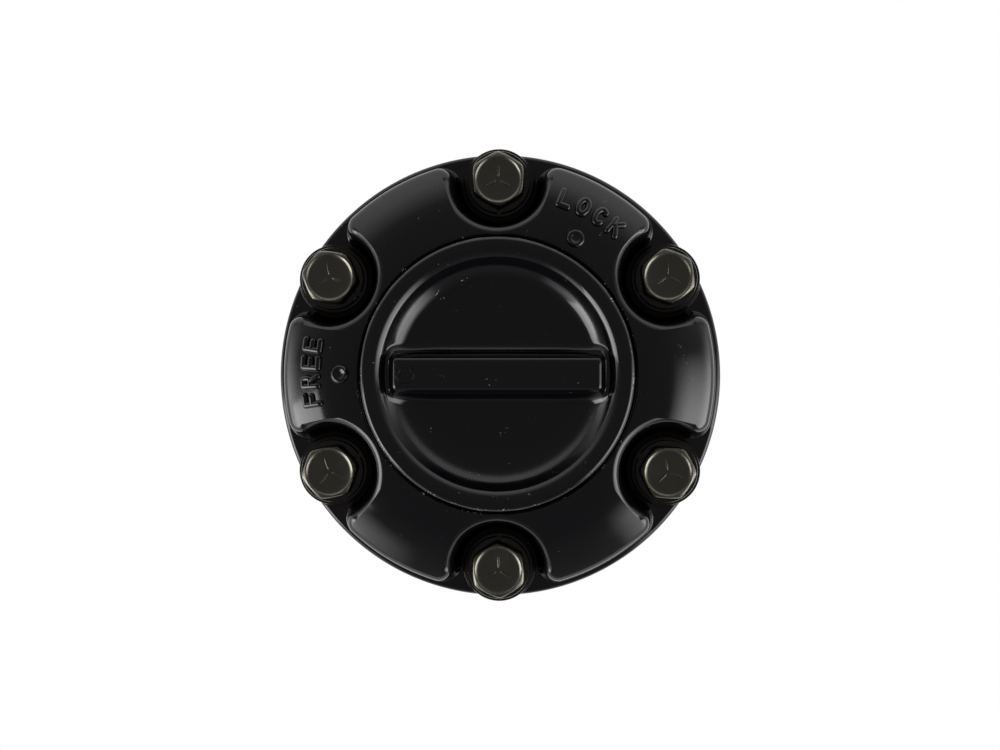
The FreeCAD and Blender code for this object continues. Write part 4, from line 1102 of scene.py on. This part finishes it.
class NodeBoard:
    """A short way to place and join shader nodes."""

    def __init__(self, tree: bpy.types.NodeTree) -> None:
        """Takes an empty node tree."""
        self.tree = tree
        tree.nodes.clear()

    def put(self, kind: str, values: Optional[dict] = None, **settings: object) -> bpy.types.Node:
        """Places one node.

        Args:
            kind: The node's type.
            values: What goes into its sockets: a number, a colour or another node's socket.
            settings: The node's own settings.

        Returns:
            The node.
        """
        node = self.tree.nodes.new(kind)
        for name, setting in settings.items():
            setattr(node, name, setting)
        for name, value in (values or {}).items():
            if isinstance(value, bpy.types.NodeSocket):
                self.tree.links.new(value, node.inputs[name])
            else:
                node.inputs[name].default_value = value
        return node

    def math(self, operation: str, *values: object) -> bpy.types.NodeSocket:
        """Works out one number from others."""
        node = self.put("ShaderNodeMath", dict(enumerate(values)), operation=operation)
        return node.outputs[0]

    def ramp(
        self, value: object, low: float, high: float, start: float, end: float
    ) -> bpy.types.NodeSocket:
        """Maps a value from one range to another and stops at its ends."""
        names = ("Value", "From Min", "From Max", "To Min", "To Max")
        node = self.put("ShaderNodeMapRange", dict(zip(names, (value, low, high, start, end))))
        return node.outputs[0]

    def noise(self, spot: object, scale: float, detail: float = 3.0) -> bpy.types.NodeSocket:
        """Gives an uneven value over the surface."""
        values = {"Vector": spot, "Scale": scale, "Detail": detail}
        return self.put("ShaderNodeTexNoise", values).outputs["Fac"]


class SurfaceGroups:
    """The effects that several finishes share, each built once as a node group."""

    def __init__(self) -> None:
        """Builds the groups."""
        self.skin = self._skin()
        self.specks = self._specks()

    @staticmethod
    def _open(
        name: str, wanted: Sequence[str], given: Sequence[str]
    ) -> tuple[NodeBoard, bpy.types.Node]:
        """Starts a group with named sockets.

        Args:
            name: The group's name.
            wanted: Its inputs: Spot is a place, the rest are numbers.
            given: Its outputs, all numbers.

        Returns:
            Its board and its input node.
        """
        tree = bpy.data.node_groups.new(name, "ShaderNodeTree")
        for label in wanted:
            kind = "NodeSocketVector" if label == "Spot" else "NodeSocketFloat"
            tree.interface.new_socket(label, in_out="INPUT", socket_type=kind)
        for label in given:
            tree.interface.new_socket(label, in_out="OUTPUT", socket_type="NodeSocketFloat")
        board = NodeBoard(tree)
        return board, board.put("NodeGroupInput")

    def _skin(self) -> bpy.types.NodeTree:
        """Makes the uneven skin of a coated or machined surface."""
        board, source = self._open("surface_skin", ("Spot", "Grain", "Spread"), ("Height", "Uneven"))
        spot, grain = source.outputs["Spot"], source.outputs["Grain"]
        fine = board.put("ShaderNodeTexNoise", {"Vector": spot, "Scale": grain, "Detail": 2.0})
        wide = board.put(
            "ShaderNodeTexNoise", {"Vector": spot, "Scale": board.math("MULTIPLY", grain, 0.22)}
        )
        coarse = board.math("MULTIPLY", wide.outputs["Fac"], 1.6)
        height = board.math("ADD", fine.outputs["Fac"], coarse)
        cloudy = board.ramp(wide.outputs["Fac"], 0.3, 0.7, -1.0, 1.0)
        uneven = board.math("MULTIPLY", cloudy, source.outputs["Spread"])
        board.put("NodeGroupOutput", {"Height": height, "Uneven": uneven})
        return board.tree

    def _specks(self) -> bpy.types.NodeTree:
        """Makes small chips and scratches where a mask lets them."""
        board, source = self._open("chips_and_scratches", ("Spot", "Size", "Where"), ("Mask",))
        spot, size = source.outputs["Spot"], source.outputs["Size"]
        chips = board.put("ShaderNodeTexNoise", {"Vector": spot, "Scale": size, "Detail": 4.0})
        patchy = board.put(
            "ShaderNodeTexNoise", {"Vector": spot, "Scale": board.math("MULTIPLY", size, 0.12)}
        )
        groups = board.math("MULTIPLY", patchy.outputs["Fac"], 0.7)
        level = board.math("ADD", chips.outputs["Fac"], groups)
        gate = board.math("SUBTRACT", 1.22, board.math("MULTIPLY", source.outputs["Where"], 0.3))
        mask = board.math("MULTIPLY", board.math("SUBTRACT", level, gate), 14.0)
        clear = board.math("MINIMUM", board.math("MAXIMUM", mask, 0.0), 1.0)
        board.put("NodeGroupOutput", {"Mask": clear})
        return board.tree


@dataclass(frozen=True)
class Finish:
    """A finish: its colour and gloss, its skin, how it wears, and its lighter rims, partly painted
    highlight.
    """

    name: str
    colour: Point
    bare_and_lit_colour: Point
    metallic: float
    roughness: float
    spread: float
    grain_mm: float
    relief_mm: float
    chips: float = 0.0
    # Share of the lighter colour on marked rims: partly wear, partly painted highlight.
    rim_wear_and_sheen: float = 0.0
    seams: tuple[tuple[float, float, float], ...] = ()

    def seam_mask(self, board: NodeBoard, spot: bpy.types.NodeSocket) -> bpy.types.NodeSocket:
        """Finds how near the surface lies to a seam whose paint rubs off.

        Args:
            board: The material's board.
            spot: The place on the surface.

        Returns:
            A mask from the finish's chips up to the wear of each seam.
        """
        parts = board.put("ShaderNodeSeparateXYZ", {"Vector": spot}).outputs
        squares = [board.math("MULTIPLY", parts[axis], parts[axis]) for axis in (0, 1)]
        radius = board.math("SQRT", board.math("ADD", *squares))
        mask = board.math("ADD", self.chips, 0.0)
        for seam, width, amount in self.seams:
            off = board.math("ABSOLUTE", board.math("SUBTRACT", radius, seam * MM))
            near = board.ramp(off, 0.0, width * MM, amount, 0.0)
            mask = board.math("MAXIMUM", mask, near)
        return mask

    def build(self, groups: SurfaceGroups) -> bpy.types.Material:
        """Builds the material.

        Args:
            groups: The shared effects.

        Returns:
            The material.
        """
        material = bpy.data.materials.new(self.name)
        material.use_nodes = True
        board = NodeBoard(material.node_tree)
        spot = board.put("ShaderNodeTexCoord").outputs["Object"]
        skin = board.put("ShaderNodeGroup", node_tree=groups.skin)
        board.tree.links.new(spot, skin.inputs["Spot"])
        skin.inputs["Grain"].default_value = 1 / (self.grain_mm * MM)
        skin.inputs["Spread"].default_value = self.spread
        chips = board.put("ShaderNodeGroup", node_tree=groups.specks)
        board.tree.links.new(spot, chips.inputs["Spot"])
        board.tree.links.new(self.seam_mask(board, spot), chips.inputs["Where"])
        chips.inputs["Size"].default_value = 1 / (CHIP_MM * MM)
        wear_and_highlight = chips.outputs["Mask"]
        # Marked rims take the lighter colour in noisy patches: partly wear, partly painted highlight.
        if self.rim_wear_and_sheen:
            rim = board.put("ShaderNodeAttribute", attribute_name="rim").outputs["Fac"]
            patch = board.ramp(board.noise(spot, 1 / (PATCH_MM * MM)), 0.35, 0.62, 0.35, 1.0)
            rubbed_and_lit = board.math("MULTIPLY", board.math("MULTIPLY", rim, patch), self.rim_wear_and_sheen)
            wear_and_highlight = board.math("MAXIMUM", wear_and_highlight, rubbed_and_lit)
        colour = board.put("ShaderNodeMix", {"Factor": wear_and_highlight}, data_type="RGBA")
        colour.inputs["A"].default_value = (*self.colour, 1.0)
        colour.inputs["B"].default_value = (*self.bare_and_lit_colour, 1.0)
        rough = board.math("ADD", skin.outputs["Uneven"], self.roughness)
        rough = board.math("MAXIMUM", rough, board.math("MULTIPLY", wear_and_highlight, 0.3))
        bump = board.put("ShaderNodeBump", {"Height": skin.outputs["Height"]})
        bump.inputs["Distance"].default_value = self.relief_mm * MM
        bump.inputs["Strength"].default_value = 1.0
        shader = board.put("ShaderNodeBsdfPrincipled")
        board.tree.links.new(colour.outputs["Result"], shader.inputs["Base Color"])
        board.tree.links.new(rough, shader.inputs["Roughness"])
        board.tree.links.new(bump.outputs["Normal"], shader.inputs["Normal"])
        shader.inputs["Metallic"].default_value = self.metallic
        board.put("ShaderNodeOutputMaterial", {"Surface": shader.outputs[0]})
        return material


PAINT = Finish(
    "gloss_black_paint", (0.0026, 0.0021, 0.0031), (0.32, 0.32, 0.32), 0.0, 0.12, 0.03, 1.3, 0.0016,
    chips=0.2, seams=((30.8, 0.8, 0.7), (32.0, 0.6, 0.65), (28.2, 1.2, 0.45), (23.2, 1.4, 0.5)),
)
# Olive plating; the lighter colour on its bolt rims is partly wear and partly painted highlight.
BOLT_PLATING = Finish(
    "olive_chromate", (0.118, 0.114, 0.098), (0.42, 0.40, 0.27), 1.0, 0.27, 0.05, 0.9, 0.002,
    chips=0.3, rim_wear_and_sheen=0.7,
)
WASHER_OXIDE = Finish(
    "black_oxide", (0.040, 0.036, 0.034), (0.3, 0.3, 0.3), 0.8, 0.17, 0.05, 0.8, 0.003, chips=0.35,
)
GEAR_STEEL = Finish(
    "machined_steel", (0.42, 0.42, 0.43), (0.55, 0.55, 0.55), 1.0, 0.30, 0.07, 0.6, 0.003, chips=0.2,
)
SPRING_STEEL = Finish(
    "blued_spring_steel", (0.16, 0.17, 0.19), (0.4, 0.4, 0.4), 1.0, 0.32, 0.06, 0.5, 0.002, chips=0.2,
)
BRONZE = Finish(
    "bearing_bronze", (0.50, 0.33, 0.15), (0.62, 0.45, 0.25), 1.0, 0.34, 0.08, 0.7, 0.003, chips=0.2,
)
RUBBER = Finish(
    "seal_rubber", (0.015, 0.015, 0.016), (0.04, 0.04, 0.04), 0.0, 0.62, 0.08, 0.5, 0.004,
)


class NodeDressing:
    """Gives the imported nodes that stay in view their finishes."""

    finishes = {
        Slot.PAINT: ("hub_body",),
        Slot.GEAR: (
            "inner_hub", "clutch_ring", "cam_sleeve", "follower", "thrust_washer", "detent_ball",
        ),
        Slot.SPRING: (
            "inner_hub_snap_ring", "knob_snap_ring", "return_spring", "shift_spring",
            "detent_spring",
        ),
        Slot.BRONZE: ("inner_hub_bush",),
        Slot.RUBBER: ("cover_o_ring", "knob_o_ring"),
    }

    def dress(self, materials: dict[Slot, bpy.types.Material]) -> None:
        """Puts the materials on the nodes.

        Args:
            materials: One material for each slot.
        """
        for slot, names in self.finishes.items():
            for name in names:
                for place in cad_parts[name].material_slots:
                    place.material = materials[slot]
                LOG.info("%s: %s", name, materials[slot].name)


@dataclass(frozen=True)
class SoftBox:
    """A soft lamp that faces the hub."""

    name: str
    azimuth: float
    elevation: float
    distance: float
    size: Flat
    radiance: float

    def build(self) -> None:
        """Hangs the lamp."""
        flat, rise = polar(self.distance, self.elevation)
        x, y = polar(flat, self.azimuth)
        lamp = bpy.data.lights.new(self.name, "AREA")
        lamp.shape = "RECTANGLE"
        lamp.size, lamp.size_y = self.size
        lamp.energy = self.radiance * math.pi * self.size[0] * self.size[1]
        holder = bpy.data.objects.new(self.name, lamp)
        spot = Vector((x, y, rise + FLANGE_FRONT * MM))
        holder.location = spot
        holder.rotation_euler = (-spot).to_track_quat("-Z", "Y").to_euler()
        bpy.context.scene.collection.objects.link(holder)


@dataclass(frozen=True)
class Glow:
    """A soft patch of light in the surround."""

    azimuth: float
    spread: Flat
    elevation: float
    rise: Flat
    radiance: float

    def build(self, board: NodeBoard, parts: bpy.types.NodeOutputs) -> bpy.types.NodeSocket:
        """Works out the patch's light for each direction.

        Args:
            board: The surround's board.
            parts: The direction's X, Y and Z.

        Returns:
            The light that the patch adds.
        """
        x, y = polar(1.0, self.azimuth)
        along_x = board.math("MULTIPLY", parts["X"], x)
        along = board.math("ADD", along_x, board.math("MULTIPLY", parts["Y"], y))
        tall = board.math("MULTIPLY", parts["Z"], parts["Z"])
        flat = board.math("SQRT", board.math("SUBTRACT", 1.0, tall))
        facing = board.math("DIVIDE", along, board.math("MAXIMUM", flat, 0.001))
        inner, outer = (math.cos(math.radians(angle)) for angle in self.spread)
        across = board.ramp(facing, outer, inner, 0.0, 1.0)
        level = board.math("ARCSINE", parts["Z"])
        off = board.math("ABSOLUTE", board.math("SUBTRACT", level, math.radians(self.elevation)))
        near, far = (math.radians(angle) for angle in self.rise)
        upright = board.ramp(off, near, far, self.radiance, 0.0)
        return board.math("MULTIPLY", across, upright)


@dataclass
class Studio:
    """A white floor, a soft lamp, a surround with soft patches and the camera over the knob."""

    floor_level: float = -11.25
    floor_half: float = 3.0
    eye: Point = (10.0, -3.4, 389.5)
    aim: Point = (0.15, -0.05, 39.5)
    view_angle: float = 37.7
    lamps: tuple[SoftBox, ...] = (
        SoftBox("lamp_left", 204.0, 24.0, 0.75, (0.44, 0.34), 4.6),
    )
    glows: tuple[Glow, ...] = (
        Glow(-24.0, (12.0, 31.0), 21.0, (9.0, 24.0), 5.0),
        Glow(210.0, (12.0, 34.0), 14.0, (5.0, 18.0), 2.2),
        Glow(90.0, (35.0, 80.0), 10.0, (8.0, 27.0), 0.9),
        Glow(197.0, (12.0, 33.0), 4.0, (5.0, 14.0), 3.6),
        Glow(-16.0, (12.0, 33.0), 4.0, (5.0, 14.0), 3.6),
    )

    def floor(self) -> None:
        """Lays the floor. It looks white from the camera and keeps the hub's shadow."""
        mesh = bmesh.new()
        bmesh.ops.create_grid(mesh, x_segments=1, y_segments=1, size=self.floor_half)
        bmesh.ops.translate(mesh, vec=(0, 0, self.floor_level * MM), verts=mesh.verts)
        data = bpy.data.meshes.new("floor")
        mesh.to_mesh(data)
        mesh.free()
        material = bpy.data.materials.new("floor_white")
        material.use_nodes = True
        board = NodeBoard(material.node_tree)
        cloth = board.put("ShaderNodeBsdfDiffuse")
        cloth.inputs["Color"].default_value = (0.85, 0.85, 0.85, 1.0)
        glow = board.put("ShaderNodeEmission", {"Strength": 1.0})
        mix = board.put("ShaderNodeMixShader", {0: self.seen(board, 1.15)})
        board.tree.links.new(cloth.outputs[0], mix.inputs[1])
        board.tree.links.new(glow.outputs[0], mix.inputs[2])
        board.put("ShaderNodeOutputMaterial", {"Surface": mix.outputs[0]})
        data.materials.append(material)
        ground = bpy.data.objects.new("floor", data)
        bpy.context.scene.collection.objects.link(ground)

    @staticmethod
    def seen(board: NodeBoard, share: float) -> bpy.types.NodeSocket:
        """Gives 1 to camera rays, a share to glossy and transmission rays, and nothing else."""
        rays = board.put("ShaderNodeLightPath").outputs
        mirrored = board.math("MAXIMUM", rays["Is Glossy Ray"], rays["Is Transmission Ray"])
        return board.math("MAXIMUM", rays["Is Camera Ray"], board.math("MULTIPLY", mirrored, share))

    def surround(self) -> None:
        """Makes the plain surround: pale near the horizon and dim overhead."""
        world = bpy.data.worlds.new("surround")
        world.use_nodes = True
        board = NodeBoard(world.node_tree)
        way = board.put("ShaderNodeTexCoord").outputs["Generated"]
        parts = board.put("ShaderNodeSeparateXYZ", {"Vector": way}).outputs
        tall = board.ramp(parts["Z"], 0.1, 0.75, 0.42, 0.19)
        level = board.math("MULTIPLY", tall, board.ramp(parts["Y"], -0.9, 0.9, 0.8, 1.25))
        for glow in self.glows:
            level = board.math("ADD", level, glow.build(board, parts))
        sky = board.put("ShaderNodeBackground", {"Strength": level})
        board.put("ShaderNodeOutputWorld", {"Surface": sky.outputs[0]})
        bpy.context.scene.world = world

    def camera(self) -> None:
        """Sets the camera over the knob, as the photograph was taken."""
        data = bpy.data.cameras.new("camera")
        data.angle = math.radians(self.view_angle)
        data.clip_start = 0.01
        eye, aim = Vector(self.eye) * MM, Vector(self.aim) * MM
        holder = bpy.data.objects.new("camera", data)
        holder.location = eye
        back = (eye - aim).normalized()
        right = Vector((0.0, 1.0, 0.0)).cross(back).normalized()
        holder.rotation_euler = Matrix((right, back.cross(right), back)).transposed().to_euler()
        bpy.context.scene.collection.objects.link(holder)
        bpy.context.scene.camera = holder

    def build(self) -> None:
        """Builds the whole studio."""
        self.camera()
        self.floor()
        self.surround()
        for lamp in self.lamps:
            lamp.build()
        view = bpy.context.scene.view_settings
        view.view_transform = "Standard"


def main() -> None:
    """Builds the studio, the finishes and the pieces in order."""
    logging.basicConfig(level=logging.INFO, format="%(message)s")
    Studio().build()
    groups = SurfaceGroups()
    finishes = {
        Slot.PAINT: PAINT, Slot.BOLT: BOLT_PLATING, Slot.WASHER: WASHER_OXIDE,
        Slot.GEAR: GEAR_STEEL, Slot.SPRING: SPRING_STEEL, Slot.BRONZE: BRONZE, Slot.RUBBER: RUBBER,
    }
    materials = {slot: finish.build(groups) for slot, finish in finishes.items()}
    NodeDressing().dress(materials)
    CoverShape().build(materials[Slot.PAINT])
    KnobShape().build(materials[Slot.PAINT])
    BoltShape().build(materials[Slot.BOLT])
    WasherShape().build(materials[Slot.WASHER])


if __name__ == "__main__":
    main()
